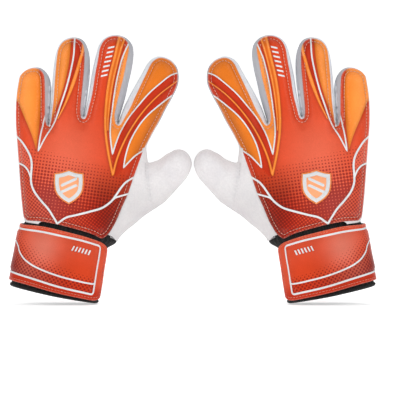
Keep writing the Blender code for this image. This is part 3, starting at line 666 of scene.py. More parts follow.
# ---------------------------------------------------------------- materials
class Shader:
    """A material and short ways to add nodes to it; most give the new node's output."""

    def __init__(self, name):
        self.material = bpy.data.materials.new(name)
        self.material.use_nodes = True
        self.tree = self.material.node_tree
        self.bsdf = self.tree.nodes["Principled BSDF"]

    def put(self, value, socket):
        if isinstance(value, bpy.types.NodeSocket):
            self.tree.links.new(value, socket)
        else:
            socket.default_value = value

    def node(self, kind, inputs, output=0, **properties):
        made = self.tree.nodes.new(kind)
        for name, value in properties.items():
            setattr(made, name, value)
        for key, value in inputs.items():
            self.put(value, made.inputs[key])
        return made.outputs[output]

    def surface(self, **inputs):
        """Fills the surface shader's inputs; an underscore stands for a space."""
        for name, value in inputs.items():
            self.put(value, self.bsdf.inputs[name.replace("_", " ")])

    def attribute(self, name, output="Vector"):
        return self.node("ShaderNodeAttribute", {}, output, attribute_name=name)

    def math(self, operation, a, b=0.0):
        return self.node("ShaderNodeMath", {0: a, 1: b, 2: 0.0}, operation=operation)

    def vector(self, operation, a, b=(0, 0, 0), **scale):
        output = "Value" if operation == "LENGTH" else "Vector"
        return self.node("ShaderNodeVectorMath", {0: a, 1: b, **scale}, output,
                         operation=operation)

    def split(self, vector):
        return self.node("ShaderNodeSeparateXYZ", {0: vector}).node.outputs

    def mix(self, amount, a, b, blend="MIX"):
        return self.node("ShaderNodeMix", {0: amount, 6: a, 7: b}, 2,
                         data_type="RGBA", blend_type=blend)

    def noise(self, vector, scale, detail=2.0, rough=0.5):
        inputs = {"Vector": vector, "Scale": scale, "Detail": detail, "Roughness": rough}
        return self.node("ShaderNodeTexNoise", inputs, "Fac")

    def cells(self, vector, scale, feature="F1"):
        return self.node("ShaderNodeTexVoronoi", {"Vector": vector, "Scale": scale},
                         "Distance", feature=feature)

    def remap(self, value, span, to=(0.0, 1.0)):
        return self.node("ShaderNodeMapRange",
                         {0: value, 1: span[0], 2: span[1], 3: to[0], 4: to[1]})

    def vary(self, colour, value, span, to):
        """The colour made darker or lighter by the remapped value."""
        level = self.remap(value, span, to)
        grey = self.node("ShaderNodeCombineColor", {0: level, 1: level, 2: level})
        return self.mix(1.0, colour, grey, "MULTIPLY")

    def pointiness(self):
        return self.node("ShaderNodeNewGeometry", {}, "Pointiness")

    def bump(self, height, strength, distance):
        return self.node("ShaderNodeBump",
                         {"Height": height, "Strength": strength, "Distance": distance})


def skin_material(name, roughness, coat, square_pitch, square_tilt, slant_tilt):
    """Satin embossed skin: paint, halftone dots, fine grain, mottling, rubbed high spots."""
    shader = Shader(name)
    pattern, paint = shader.attribute("pat"), shader.attribute("paint", "Color")
    radii = shader.split(shader.attribute("dots"))
    place = shader.split(pattern)
    flat = shader.node("ShaderNodeCombineXYZ", {0: place[0], 1: place[2]})

    def halftone(radius, pitch, tilt):
        """1 inside the dots of a grid with the given pitch (mm) and tilt (degrees)."""
        turned = shader.node("ShaderNodeVectorRotate",
                             {"Vector": flat, "Angle": math.radians(tilt)},
                             rotation_type="Z_AXIS")
        cell = shader.vector("FRACTION", shader.vector("SCALE", turned, Scale=1 / pitch))
        cell = shader.vector("SUBTRACT", cell, (0.5, 0.5, 0.0))
        distance = shader.vector("LENGTH", shader.vector("MULTIPLY", cell, (1, 1, 0)))
        outside = shader.math("SUBTRACT", distance, shader.math("SUBTRACT", radius, 0.06))
        return shader.remap(outside, (-0.05, 0.05), to=(1.0, 0.0))

    dark = shader.math("MAXIMUM", halftone(radii[0], square_pitch, square_tilt),
                       halftone(radii[1], pitch=2.5, tilt=slant_tilt))
    mottled = shader.noise(pattern, scale=0.045, detail=3.0)
    fine = shader.noise(pattern, scale=0.9, detail=3.0, rough=0.6)
    grain = shader.cells(pattern, scale=1.15)
    dot_colour = shader.mix(1.0, paint, (0.44, 0.26, 0.38, 1), "MULTIPLY")
    colour = shader.mix(dark, paint, dot_colour)
    colour = shader.vary(colour, mottled, (0.3, 0.7), to=(0.92, 1.06))
    colour = shader.vary(colour, fine, (0.3, 0.7), to=(0.95, 1.04))
    pits = shader.remap(grain, (0.0, 0.35), to=(0.10, 0.0))
    colour = shader.mix(pits, colour, (0.02, 0.004, 0.002, 1))
    worn = shader.remap(shader.pointiness(), (0.515, 0.56), to=(0.0, 0.22))
    worn = shader.math("MULTIPLY", worn, shader.remap(fine, (0.4, 0.6)))
    colour = shader.mix(worn, colour, (0.95, 0.75, 0.62, 1))
    cloudy = shader.remap(mottled, (0.3, 0.7), to=(roughness - 0.05, roughness + 0.06))
    grainy = shader.remap(grain, (0, 0.5), to=(0.10, -0.03))
    height = shader.math("ADD", shader.math("MULTIPLY", grain, 0.7),
                         shader.math("MULTIPLY", fine, 0.6))
    shader.surface(
        Base_Color=colour,
        Roughness=shader.math("ADD", cloudy, grainy),
        Specular_IOR_Level=0.25,
        Specular_Tint=(1.0, 0.52, 0.40, 1),
        Coat_Weight=coat,
        Coat_Roughness=0.32,
        Normal=shader.bump(height, strength=0.32, distance=0.0004))
    return shader.material


def latex_material():
    """Soft white latex foam: pebbled grain, faint warm and cool clouds, painted shade in its
    hollows.
    """
    shader = Shader("palm_latex_foam")
    pattern, paint = shader.attribute("pat"), shader.attribute("paint", "Color")
    cloud = shader.noise(pattern, scale=0.03, detail=3.0)
    fine = shader.noise(pattern, scale=0.55, detail=4.0, rough=0.65)
    pebble = shader.cells(pattern, scale=0.62, feature="SMOOTH_F1")
    pores = shader.cells(pattern, scale=1.7)
    colour = shader.mix(shader.remap(cloud, (0.35, 0.65)),
                        (0.70, 0.675, 0.690, 1), (0.78, 0.760, 0.760, 1))
    colour = shader.mix(1.0, colour, paint, "MULTIPLY")
    # each row: what darkens the foam, its span, how much, and the colour it turns to
    for value, span, amount, tone in (
            (pebble, (0.25, 0.65), (0.0, 0.14), (0.45, 0.44, 0.46, 1)),
            (fine, (0.3, 0.5), (0.10, 0.0), (0.5, 0.48, 0.48, 1)),
            # painted shade: greyer where the surface is hollow
            (shader.pointiness(), (0.42, 0.49), (0.35, 0.0), (0.42, 0.42, 0.45, 1))):
        colour = shader.mix(shader.remap(value, span, to=amount), colour, tone)
    roughness = shader.remap(fine, (0.3, 0.7), to=(0.56, 0.72))
    small = shader.math("ADD", shader.math("MULTIPLY", pores, 0.35),
                        shader.math("MULTIPLY", fine, 0.8))
    height = shader.math("ADD", shader.math("MULTIPLY", pebble, -1.0), small)
    shader.surface(
        Base_Color=colour,
        Roughness=roughness,
        Specular_IOR_Level=0.35,
        Sheen_Weight=0.08,
        Normal=shader.bump(height, strength=0.5, distance=0.0006))
    return shader.material


def fabric_material(name, colour, pitch, roughness, strength, row_pitch=0.55, row_weight=0.45):
    """Ribs at the pitch (mm) crossed by rows (a share of it), light fuzz, a little drift."""
    shader = Shader(name)
    pattern = shader.attribute("pat")
    place = shader.split(pattern)
    warp = shader.noise(pattern, scale=0.35)
    wavy = shader.math("ADD", place[0], shader.math("MULTIPLY", warp, 0.25))
    rib = shader.math("SINE", shader.math("MULTIPLY", wavy, 2 * math.pi / pitch))
    turns = 2 * math.pi / (pitch * row_pitch)
    row = shader.math("SINE", shader.math("MULTIPLY", place[2], turns))
    knit = shader.math("ADD", rib, shader.math("MULTIPLY", row, row_weight))
    fuzz = shader.noise(pattern, scale=2.4, detail=3.0, rough=0.7)
    cloud = shader.noise(pattern, scale=0.06)
    low = tuple(c * 0.45 for c in colour) + (1,)
    high = tuple(min(1, c * 1.8 + 0.004) for c in colour) + (1,)
    mixed = shader.mix(shader.remap(knit, (-1.4, 1.4)), low, high)
    mixed = shader.mix(shader.remap(fuzz, (0.45, 0.75), to=(0.0, 0.35)), mixed, high)
    mixed = shader.vary(mixed, cloud, (0.3, 0.7), to=(0.85, 1.1))
    span = (roughness - 0.08, min(1.0, roughness + 0.08))
    height = shader.math("ADD", knit, shader.math("MULTIPLY", fuzz, 0.8))
    shader.surface(
        Base_Color=mixed,
        Roughness=shader.remap(fuzz, (0.3, 0.7), to=span),
        Specular_IOR_Level=0.3,
        Sheen_Weight=0.06,
        Sheen_Roughness=0.6,
        Normal=shader.bump(height, strength=strength, distance=0.0004))
    return shader.material


def fuzzy_material(name, colour, scale):
    """Hook-and-loop tape: a dense mat of short tangled pile."""
    shader = Shader(name)
    pattern = shader.attribute("pat")
    pile = shader.noise(pattern, scale=scale, detail=5.0, rough=0.8)
    tuft = shader.cells(pattern, scale=scale * 0.8)
    low = tuple(c * 0.3 for c in colour) + (1,)
    high = tuple(min(1, c * 2.4 + 0.01) for c in colour) + (1,)
    height = shader.math("SUBTRACT", pile, shader.math("MULTIPLY", tuft, 0.6))
    shader.surface(
        Base_Color=shader.mix(shader.remap(pile, (0.35, 0.65)), low, high),
        Roughness=shader.remap(pile, (0.3, 0.7), to=(0.85, 1.0)),
        Sheen_Weight=0.35,
        Normal=shader.bump(height, strength=0.9, distance=0.0008))
    return shader.material


PANEL_SKIN = skin_material("back_panel_skin", roughness=0.44, coat=0.06,
                           square_pitch=3.05, square_tilt=8, slant_tilt=38)
STRAP_SKIN = skin_material("strap_skin", roughness=0.44, coat=0.06,
                           square_pitch=2.75, square_tilt=45, slant_tilt=0)
BADGE_RUBBER = skin_material("badge_rubber", roughness=0.40, coat=0.15,
                             square_pitch=3.05, square_tilt=8, slant_tilt=38)
LATEX_FOAM = latex_material()
ELASTIC = fabric_material("ribbed_elastic", (0.007, 0.006, 0.006), pitch=1.5,
                          roughness=0.85, strength=0.8)
BINDING = fabric_material("binding_tape", (0.005, 0.005, 0.005), pitch=0.9, roughness=0.8,
                          strength=0.6, row_pitch=1.0, row_weight=1.0)
LINING = fabric_material("knit_lining", (0.16, 0.16, 0.17), pitch=1.1, roughness=0.9,
                         strength=0.6)
LOOP_PILE = fuzzy_material("loop_pile", (0.02, 0.02, 0.022), scale=1.6)
HOOK_PILE = fuzzy_material("hook_pile", (0.03, 0.03, 0.032), scale=0.9)

# paint colours, linear
RED = np.array([0.66, 0.052, 0.010])
# coral: the colour of the painted highlights on the red
CORAL_HIGHLIGHT = np.array([0.73, 0.122, 0.062])
DEEP = np.array([0.52, 0.024, 0.003])
MAROON = np.array([0.34, 0.014, 0.006])
ORANGE = np.array([0.84, 0.205, 0.014])
PEACH = np.array([0.95, 0.290, 0.050])
AMBER = np.array([0.74, 0.175, 0.010])
WHITE = np.array([0.72, 0.755, 0.765])
THREAD = np.array([0.62, 0.37, 0.30])


def blend(first, second, amount):
    return first + (second - first) * amount[..., None]


# ---------------------------------------------------------------- where the pieces part
CUTS = []
for finger in FINGERS:
    root_shift = AXIS_SHIFT if finger.name != "index" else -1.0
    CUTS.append(across(finger.at(finger.start, root_shift), finger.along, 17.5))
    CUTS.append(across(finger.at(finger.middle_cut, AXIS_SHIFT), finger.along, 17.5))
THUMB_ROOT_CUT = (THUMB_BASE + THUMB_SIDE * THUMB_BEND[0]
                  + np.array([-0.065, 0.998]) * np.linspace(-38, 33.5, 50)[:, None])
THUMB_END_CUT = across(THUMB_BASE + THUMB_ALONG * THUMB_END_AT, THUMB_ALONG, 26)


def region(points):
    """0 hand, 1-4 finger roots, 5-8 finger ends, 9 thumb root, 10 thumb end, per point."""
    found = np.zeros(len(points), int)
    nearest, along, side = finger_of(points)
    for i, finger in enumerate(FINGERS):
        mine = (nearest == i) & (points[:, 1] > 150) & (np.abs(side) < 24)
        found[mine & (along > finger.start)] = 1 + i
        found[mine & (along > finger.middle_cut)] = 5 + i
    beyond = (points - THUMB_BASE) @ THUMB_SIDE > THUMB_BEND[0]
    mine = (points[:, 1] < 148.2) & beyond
    found[mine] = 9
    found[mine & ((points - THUMB_BASE) @ THUMB_ALONG > THUMB_END_AT)] = 10
    return found


def upright(point):
    return (point[0], 0.0, point[1])


def cuff_axis(height):
    """Point on the cuff's axis."""
    return (CUFF_ORIGIN[0] + CUFF_UP[0] * height, 0.0, CUFF_ORIGIN[1] + CUFF_UP[1] * height)


REGION_NAMES = (["hand"] + [finger.name + "_root" for finger in FINGERS]
                + [finger.name + "_end" for finger in FINGERS] + ["thumb_root", "thumb_end"])
BENDS = [("cuff", "hand", cuff_axis(58.0), cuff_axis(82.0))]
BENDS += [("hand", finger.name + "_base", upright(finger.at(finger.start)),
           upright(finger.at(finger.end))) for finger in FINGERS]
BENDS += [(finger.name + "_base", finger.name + "_tip",
           upright(finger.at(finger.middle - MIDDLE_BEND)),
           upright(finger.at(finger.middle + MIDDLE_BEND))) for finger in FINGERS]
BENDS.append(("hand", "thumb_base",
              *[upright(THUMB_BASE + THUMB_SIDE * reach) for reach in THUMB_BEND]))
BENDS.append(("thumb_base", "thumb_tip",
              *[upright(THUMB_BASE + THUMB_ALONG * reach) for reach in (15.2, 26.5)]))


def finger_nodes(kind):
    return [[finger.name + kind + part] for part in ("_base", "_tip") for finger in FINGERS]


PANEL_NODES = [["hand_back"]] + finger_nodes("_back")
LATEX_NODES = ([["hand_palm", "thumb_gusset"]] + finger_nodes("_latex")
               + [["thumb_base"], ["thumb_tip"]])


# ---------------------------------------------------------------- threads and raised bars
def tube(path, radius, normals, sides=5):
    """A thread along a short path lying on a surface."""
    way = np.gradient(path, axis=0)
    way /= np.linalg.norm(way, axis=1)[:, None]
    side = np.cross(way, normals)
    side /= np.maximum(np.linalg.norm(side, axis=1), 1e-9)[:, None]
    up = np.cross(side, way)
    angle = (2 * math.pi * np.arange(sides) / sides)[None, :, None]
    rows = path[:, None] + (side[:, None] * np.cos(angle) + up[:, None] * np.sin(angle)) * radius
    verts, faces = loft(rows)
    ends = [path[0] - way[0] * radius * 0.6, path[-1] + way[-1] * radius * 0.6]
    caps = []
    first, last = len(verts), len(verts) - sides
    for i in range(sides):
        following = (i + 1) % sides
        caps += [(first, following, i), (first + 1, last + i, last + following)]
    verts = np.vstack([verts, ends])
    faces = np.vstack([faces[:, [0, 2, 1]], caps])
    a, b, c = verts[faces[:, 0]], verts[faces[:, 1]], verts[faces[:, 2]]
    if (np.cross(b - a, c - a) * ((a + b + c) / 3 - path.mean(0))).sum() < 0:
        faces = faces[:, ::-1]
    return verts, faces


def surface_normals(height_at, points, side=1, step=0.25):
    """Normals of the sheet y = height_at(points); side is 1 for the back, -1 for the palm."""
    east, north = np.array([step, 0]), np.array([0, step])
    slope_x = (height_at(points + east) - height_at(points - east)) / (2 * step)
    slope_z = (height_at(points + north) - height_at(points - north)) / (2 * step)
    normals = np.c_[slope_x, -np.ones(len(points)), slope_z] * side
    return normals / np.linalg.norm(normals, axis=1)[:, None]


def stitches(path, height_at, gap, length, radius, tones, side=1):
    """Separate threads along a path on a sheet, as (region, vertices, faces, tone)."""
    lengths = lengths_along(path)
    count = int(lengths[-1] // gap)
    starts = (np.arange(count) + 0.15) * (lengths[-1] / count)
    stations = (starts[:, None] + np.array([0, 0.3, 0.7, 1.0]) * length).ravel()
    flat = at_lengths(path, lengths, stations)
    normals = surface_normals(height_at, flat, side)
    lift = np.tile([-0.12, 0.30, 0.30, -0.12], count)[:, None]
    points = np.c_[flat[:, 0], height_at(flat), flat[:, 1]] + normals * lift
    regions = region(flat[1::4])
    threads = []
    for i in range(count):
        part = slice(4 * i, 4 * i + 4)
        reach = np.linalg.norm(points[part][-1] - points[part][0])
        if 0.3 <= reach <= length * 2.0:
            verts, faces = tube(points[part], radius, normals[part])
            threads.append((regions[i], verts, faces, tones[i % len(tones)]))
    return threads


def add_threads(skin, threads, number):
    for owner, verts, faces, tone in threads:
        if owner == number:
            skin.add(verts, faces, tone)


def inner_path(line, inset):
    """The outline moved in, without its folded parts."""
    loop = open_loop(line)
    moved = loop + inward_normals(loop) * inset
    moved = moved[line_distance(moved, np.vstack([loop, loop[:1]])) > inset * 0.97]
    return np.vstack([moved, moved[:1]])


def raised_bar(start, end, up, place, half=0.8, high=0.4, count=7):
    """A flat bar: place(points, lift) puts it on the skin. Gives vertices, faces, normals."""
    middle = start + (end - start) * np.linspace(0, 1, count)[:, None]
    low, top = middle - np.asarray(up) * half, middle + np.asarray(up) * half
    rows = np.array([place(low, -0.3), place(low, high), place(middle, high + 0.08),
                     place(top, high), place(top, -0.3)])
    verts, faces = loft(rows, close=False)
    caps = []
    for end_column in (0, count - 1):
        ring = [i * count + end_column for i in range(5)]
        for k in range(1, 4):
            pair = (ring[k], ring[k + 1]) if end_column else (ring[k + 1], ring[k])
            caps.append((ring[0], *pair))
    faces = np.vstack([faces, caps])
    centre = rows[[0, 4]].reshape(-1, 3).mean(0)
    a, b, c = verts[faces[:, 0]], verts[faces[:, 1]], verts[faces[:, 2]]
    normals = np.cross(b - a, c - a)
    upper = slice(2 * (count - 1), 4 * (count - 1))
    if (normals[upper] * (a[upper] - centre)).sum() < 0:
        faces, normals = faces[:, ::-1], -normals
    normals /= np.maximum(np.linalg.norm(normals, axis=1), 1e-9)[:, None]
    return verts, faces, np.repeat(normals[:, None], 3, 1)


# ---------------------------------------------------------------- white latex
seam = curve(THUMB_SEAM, 1.5)
gusset = curve(GUSSET_LINE, 1.5)
hem_line = curve(HEM_LINE, 1.6)
creases = [across(finger.at(place, AXIS_SHIFT), finger.along, 15.5)
           for finger in FINGERS for place in (0.0, finger.middle)]
creases += [across(finger.at(finger.middle + 12, AXIS_SHIFT), finger.along, 11.0)
            for finger in FINGERS]
creases.append(across(THUMB_BASE + THUMB_ALONG * THUMB_CREASE, THUMB_ALONG, 16))
# palm grooves and their depths
GROOVES = [(line, 1.25) for line in creases]
GROOVES += [(run_curve(np.array(line, float), 1.8), 0.8) for line in PALM_LINES]
GROOVES += [(gusset, 1.0), (hem_line, 0.8)]


def wrist_gap():
    """The strip left open at the back of the wrist, where the panel's own edge shows over
    the gaiter: its outline, and the part of that to draw on the skin."""
    upward = np.array([0.22, 0.975])
    run = WRIST_EDGE[WRIST_EDGE[:, 0].argsort()]
    run = run[(run[:, 0] > -145.0) & (run[:, 0] < -73.4)]
    rise = np.interp(run[:, 0], [-145, -139, -84, -79.5, -76.2, -74.8, -73.6],
                     [0.5, 6.0, 6.0, 2.2, 1.7, 0.9, 0.3])
    top = run + upward * rise[:, None]
    outline = np.vstack([run - upward * 3, top[::-1]])
    return outline, np.vstack([outline[len(run) - 1:], outline[:1]])


def settle(points, faces, held, cap, loose, frames=14):
    """Lets a skin, cut a little large and held along its seams, crumple as cloth; gives
    each point's move, capped."""
    used, renumbered = np.unique(faces, return_inverse=True)
    rest = points[used] * 0.01
    mesh = bpy.data.meshes.new("settling")
    mesh.from_pydata(rest.tolist(), [], renumbered.reshape(faces.shape).tolist())
    obj = bpy.data.objects.new("settling", mesh)
    bpy.context.scene.collection.objects.link(obj)
    pins = obj.vertex_groups.new(name="pins")
    pins.add([int(i) for i in np.where(held[used])[0]], 1.0, "REPLACE")
    modifier = obj.modifiers.new("cloth", "CLOTH")
    cloth = modifier.settings
    cloth.quality = 5
    cloth.mass = 0.3
    cloth.tension_stiffness = cloth.compression_stiffness = 18
    cloth.shear_stiffness = 8
    cloth.bending_stiffness = 0.6
    cloth.tension_damping = cloth.compression_damping = 12
    cloth.bending_damping = 1.0
    cloth.shrink_min = -loose
    cloth.vertex_group_mass = "pins"
    cloth.use_pressure = True
    cloth.uniform_pressure_force = 1.2
    cloth.effector_weights.gravity = 0.0
    modifier.collision_settings.use_collision = False
    modifier.point_cache.frame_start, modifier.point_cache.frame_end = 1, frames
    scene = bpy.context.scene
    for frame in range(1, frames + 1):
        scene.frame_set(frame)
    settled = obj.evaluated_get(bpy.context.evaluated_depsgraph_get()).to_mesh()
    places = np.empty(len(rest) * 3, np.float32)
    settled.vertices.foreach_get("co", places)
    moved = (places.reshape(-1, 3) - rest) * 100.0
    obj.to_mesh_clear()
    scene.frame_set(1)
    bpy.data.objects.remove(obj)
    bpy.data.meshes.remove(mesh)
    size = np.maximum(np.linalg.norm(moved, axis=1), 1e-9)[:, None]
    moves = np.zeros_like(points)
    moves[used] = moved / size * cap * np.tanh(size / cap)
    return moves


def latex_painted_light(flat, shape):
    """Painted shade on the fingers' thumb-side walls and low on the thumb side; cooler painted
    light and a painted highlight on the other walls.
    """
    x, z = flat[:, 0], flat[:, 1]
    on_finger = ease((z - 165) / 14)
    # painted shade: the thumb-side walls greyer and cooler; the little-finger-side walls get a
    # cooler painted light
    thumb_wall_shade = np.where(z > 160, ease((shape.side - 2) / 5), 0) * on_finger
    little_wall_cool_light = np.where(z > 160, ease((-shape.side - 2) / 5), 0) * on_finger
    painted_light = (1 - thumb_wall_shade[:, None] * (1 - np.array([0.60, 0.63, 0.67]))
            - little_wall_cool_light[:, None] * (1 - np.array([0.93, 0.97, 1.0])))
    # painted shade: darker low down towards the thumb
    painted_light *= (1 - 0.15 * ease((128 - z) / 40) * (x > -100))[:, None]
    # painted highlight: paler on the little-finger-side walls near their edges
    pale = ease(-shape.side / 5) * ease((z - 168) / 12) * ease((5 - shape.edge) / 3)
    return painted_light * (1 + pale[:, None] * np.array([0.13, 0.16, 0.17]))


def latex_skin():
    """Back and palm sheets joined at the rim: the skin, its faces' regions and the two hems."""
    gap, gap_line = wrist_gap()
    lines = CUTS + [THUMB_ROOT_CUT, THUMB_END_CUT, seam, gap_line]
    for groove, _ in GROOVES:
        lines += with_sides(groove, 1.1)
    fill = fill_points(latex_line, lines, (0.35, 1.1, 2.3, 4.0, 6.2, 9.0), 3.0)
    flat, flat_faces = triangulate(latex_line, lines, fill)
    shape = form(flat)
    edge = shape.edge
    on_edge = edge < 0.02
    wrist_distance = line_distance(flat, WRIST_EDGE)
    wrinkles = lumps(flat, 0.055, 3.0) * 0.9 + lumps(flat, 0.16, 9.0) * 0.35
    calm = ease(edge / 9.0)
    seam_distance = line_distance(flat, seam)
    seam_dent = -1.15 * bell(seam_distance, 0.9) * ease(edge / 5)
    panel_distance = line_distance(flat, panel_line)
    in_panel = inside(flat, panel_line)
    under = in_panel * np.clip(panel_distance / 1.2, 0, 1)
    thumb = ease((flat[:, 0] + 60) / 14) * (1 - ease((flat[:, 1] - 140) / 10))
    y_back = -(shape.back - 0.9 * under + wrinkles * calm * (0.25 + 0.75 * thumb) * (1 - under)
               + seam_dent) + shape.bow

    groove_distance, nearest = segment_distance(
        flat, np.vstack([line[:-1] for line, _ in GROOVES]),
        np.vstack([line[1:] for line, _ in GROOVES]))
    depths = np.concatenate([np.full(len(line) - 1, depth) for line, depth in GROOVES])
    y_palm = shape.palm + seam_dent
    y_palm += (wrinkles[::-1] * calm * 0.35) * ease(groove_distance / 4)
    y_palm -= depths[nearest] * bell(groove_distance, 0.75) * ease(edge / 4)
    y_palm += 0.55 * bell(groove_distance - 2.4, 1.2) * ease(edge / 6)
    y_palm += shape.bow

    # the palm sheet shares the back sheet's vertices along the rim
    count = len(flat)
    y_palm[on_edge] = y_back[on_edge]
    verts = np.vstack([np.c_[flat[:, 0], y, flat[:, 1]] for y in (y_back, y_palm)])
    palm_number = np.where(on_edge, np.arange(count), np.arange(count) + count)
    faces = np.vstack([flat_faces, palm_number[flat_faces][:, ::-1]])
    held = ((edge < 2.0) | (groove_distance < 0.9) | (wrist_distance < 3.0)
            | (flat[:, 0] < -166))
    held_back = (held | (under > 0) | (seam_distance < 0.9)
                 | ((edge < 7.0) & (flat[:, 1] > 150)))
    verts = verts + settle(verts, faces, np.r_[held_back, held], cap=1.5, loose=0.012)

    middles = flat[flat_faces].mean(1)
    covered = (in_panel & (panel_distance > 6.0))[flat_faces].all(1)
    keep = np.r_[~covered & ~inside(middles, gap), np.ones(len(flat_faces), bool)]
    # painted light and shade on the back sheet, none on the palm
    painted_light = np.vstack([latex_painted_light(flat, shape), np.ones((count, 3))])
    skin = Skin()
    skin.add(verts, faces, painted_light[faces])
    rim = np.where(wrist_distance < 0.02)[0]
    rim = rim[np.argsort(flat[rim, 0])]
    hems = [hem(verts[:count][rim], 1), hem(verts[count:][rim], -1)]
    hem_x = hems[0][0][hems[0][1]].mean(1)[:, 0]
    hems[0] = (hems[0][0], hems[0][1][(hem_x > -77.0) | (hem_x < -145.0)])
    return skin, np.where(keep, np.tile(region(middles), 2), -1), hems


def hem(edge, way):
    """A folded strip turning in over the gaiter from the wrist edge; way is +1 or -1 in y."""
    return loft(np.array([edge, edge + [0, 1.6 * way, 0.2], edge + [0, 2.4 * way, 7.0]]),
                close=False)


def latex_back_y(points):
    shape = form(points)
    return (-shape.back + shape.bow
            + 0.9 * bell(line_distance(points, seam), 1.0) * ease(shape.edge / 5))


def latex_palm_y(points):
    shape = form(points)
    gap = np.minimum(line_distance(points, gusset), line_distance(points, hem_line))
    return shape.palm + shape.bow + 0.55 * bell(gap - 2.4, 1.2) * ease(shape.edge / 6)


def latex_threads():
    pale = [np.full(3, 0.82)]
    threads = stitches(offset_line(seam, -2.2), latex_back_y, gap=3.2, length=2.3,
                       radius=0.26, tones=pale)
    for line, offset in ((gusset, 2.1), (gusset, -2.1), (hem_line, 2.0)):
        path = offset_line(line, offset)
        path = path[inside(path, latex_line) & (line_distance(path, latex_line) > 2.5)]
        threads += stitches(path, latex_palm_y, gap=3.2, length=2.3, radius=0.27,
                            tones=pale, side=-1)
    return threads


def build_latex():
    skin, regions, hems = latex_skin()
    threads = latex_threads()
    for number, name in enumerate(REGION_NAMES):
        part = skin.pick(regions == number)
        if name == "hand":
            for verts, faces in hems:
                # painted shade: the turned-in hems a little darker than the foam
                part.add(verts, faces, np.full(3, 0.9))
        add_threads(part, threads, number)
        piece("latex_" + name, part, LATEX_FOAM, "palm_latex", LATEX_NODES[number],
              bend=BENDS[number])


# ---------------------------------------------------------------- the back panel
# height of the panel's edge roll: distance in from the edge, lift
PANEL_ROLL = ([0, 0.35, 1.0, 2.7, 3.4, 4.1, 5.2, 7.5, 11.0, 15.0],
              [0.25, 0.75, 0.95, 0.85, 0.30, 0.85, 1.75, 2.6, 3.05, 3.2])
STITCH_INSET = 3.4
STROKES = {}
for name, (points, widths, kind) in STROKE_TABLE.items():
    line = curve(seen(points), 1.4)
    half_width = np.interp(np.linspace(0, 1, len(line)), [0, 0.5, 1], widths)
    STROKES[name] = (line, half_width, kind)
# ridge height, then depth, distance out and width of the ditch beside it
STROKE_RELIEF = {"white": (0.55, 0.22, 0.7, 0.6), "orange": (0.85, 0.45, 0.8, 0.8)}
BORDERS = [curve(seen(line), 1.4) for line in (LITTLE_BORDER, RING_LEFT_BORDER,
                                               RING_RIGHT_BORDER)]


def panel_base(points):
    """Height of the plain panel over the hand's middle sheet, and the bow."""
    shape = form(points)
    return shape.back + np.interp(line_distance(points, panel_line), *PANEL_ROLL), shape.bow


def panel_y(points):
    height, bow = panel_base(points)
    return -height + bow


def on_panel(points, lift):
    base = np.c_[points[:, 0], panel_y(points), points[:, 1]]
    return base + surface_normals(panel_y, points) * lift


def panel_relief(flat, edge):
    """Raised strokes, pressed borders and soft swells."""
    relief = np.zeros(len(flat))
    for line, width, kind in STROKES.values():
        ridge, ditch, out, spread = STROKE_RELIEF[kind]
        distance, nearest = nearest_on(flat, line)
        half = width[nearest]
        relief = np.maximum(relief, ridge * dome(distance / half))
        relief -= ditch * bell(distance - half - out, spread) * (distance > half)
    for line in BORDERS:
        relief -= 0.55 * bell(line_distance(flat, line), 1.1)
    return relief * ease(edge / 1.2) + lumps(flat, 0.03, 5.0) * 0.5 * ease(edge / 8)


def red_with_painted_light(points):
    """Red with painted light: a coral painted highlight mid-hand and a pale one low on the
    little-finger side, painted shade low down and to the thumb side.
    """
    x, z = points[..., 0], points[..., 1]
    # painted highlight: coral in the middle of the hand
    warm = np.exp(-(((x + 118) / 32) ** 2 + ((z - 138) / 40) ** 2))
    # painted shade: a deeper red low down
    low = ease((118 - z + (x + 105) * 0.10) / 46)
    # painted shade: a deeper red to the thumb side
    thumb_side_shade = ease((x + 78) / 26) * (1 - ease((z - 150) / 30))
    colour = blend(RED, CORAL_HIGHLIGHT, np.clip(warm, 0, 1))
    colour = blend(colour, DEEP, 0.75 * thumb_side_shade)
    colour = blend(colour, MAROON * 1.25, 0.10 * low)
    # painted shade towards the lower thumb side; painted highlight, a pale pink pool, low on the
    # little-finger side
    shade = ease((x + 104 + (z - 90) * 0.25) / 28) * ease((134 - z) / 30)
    pale = np.exp(-(((x + 134) / 20) ** 2 + ((z - 96) / 21) ** 2))
    colour = colour * ((1 - 0.42 * shade) * (1 + 0.24 * pale))[..., None]
    # painted shade: a darker, deeper red in the lower thumb-side corner
    corner = ease((x + 108) / 20) * ease((116 - z) / 26)
    colour = colour * (1 - corner[..., None] * np.array([0.10, 0.48, 0.48]))
    return blend(colour, np.array([0.74, 0.16, 0.10]), 0.72 * pale)


def zone_paint(corners, zones):
    paint = red_with_painted_light(corners)
    little, ring, middle, patch = (
        (corners[zones[name]][..., 0], corners[zones[name]][..., 1])
        for name in ("little_orange", "ring_orange", "mid_index_orange", "index_patch"))
    ring_centre = -127 + (ring[1] - 200) * 0.10
    # painted highlight: the upper side zone turned coral
    paint[zones["side_top"]] = (red_with_painted_light(corners[zones["side_top"]]) * 0.4
                                + np.array([0.78, 0.15, 0.09]) * 0.6)
    paint[zones["side_left"]] = red_with_painted_light(corners[zones["side_left"]]) * 0.9
    paint[zones["ring_dark"]] = DEEP
    paint[zones["index_dark"]] = DEEP * 0.9 + RED * 0.1
    # painted shade: the little finger's orange darkens towards its thumb side; the ring's orange
    # has a painted highlight in its middle and painted shade to its sides
    paint[zones["little_orange"]] = blend(PEACH, ORANGE, ease((little[0] + 156) / 14))
    paint[zones["ring_orange"]] = blend(PEACH * 0.93, ORANGE * 0.95,
                                        ease(np.abs(ring[0] - ring_centre) / 10))
    paint[zones["mid_index_orange"]] = blend(PEACH, AMBER, ease((middle[0] + 66) / 10))
    paint[zones["index_patch"]] = blend(
        ORANGE, AMBER * 0.8, ease((patch[0] + 60 - (patch[1] - 150) * 0.5) / 12))
    return paint


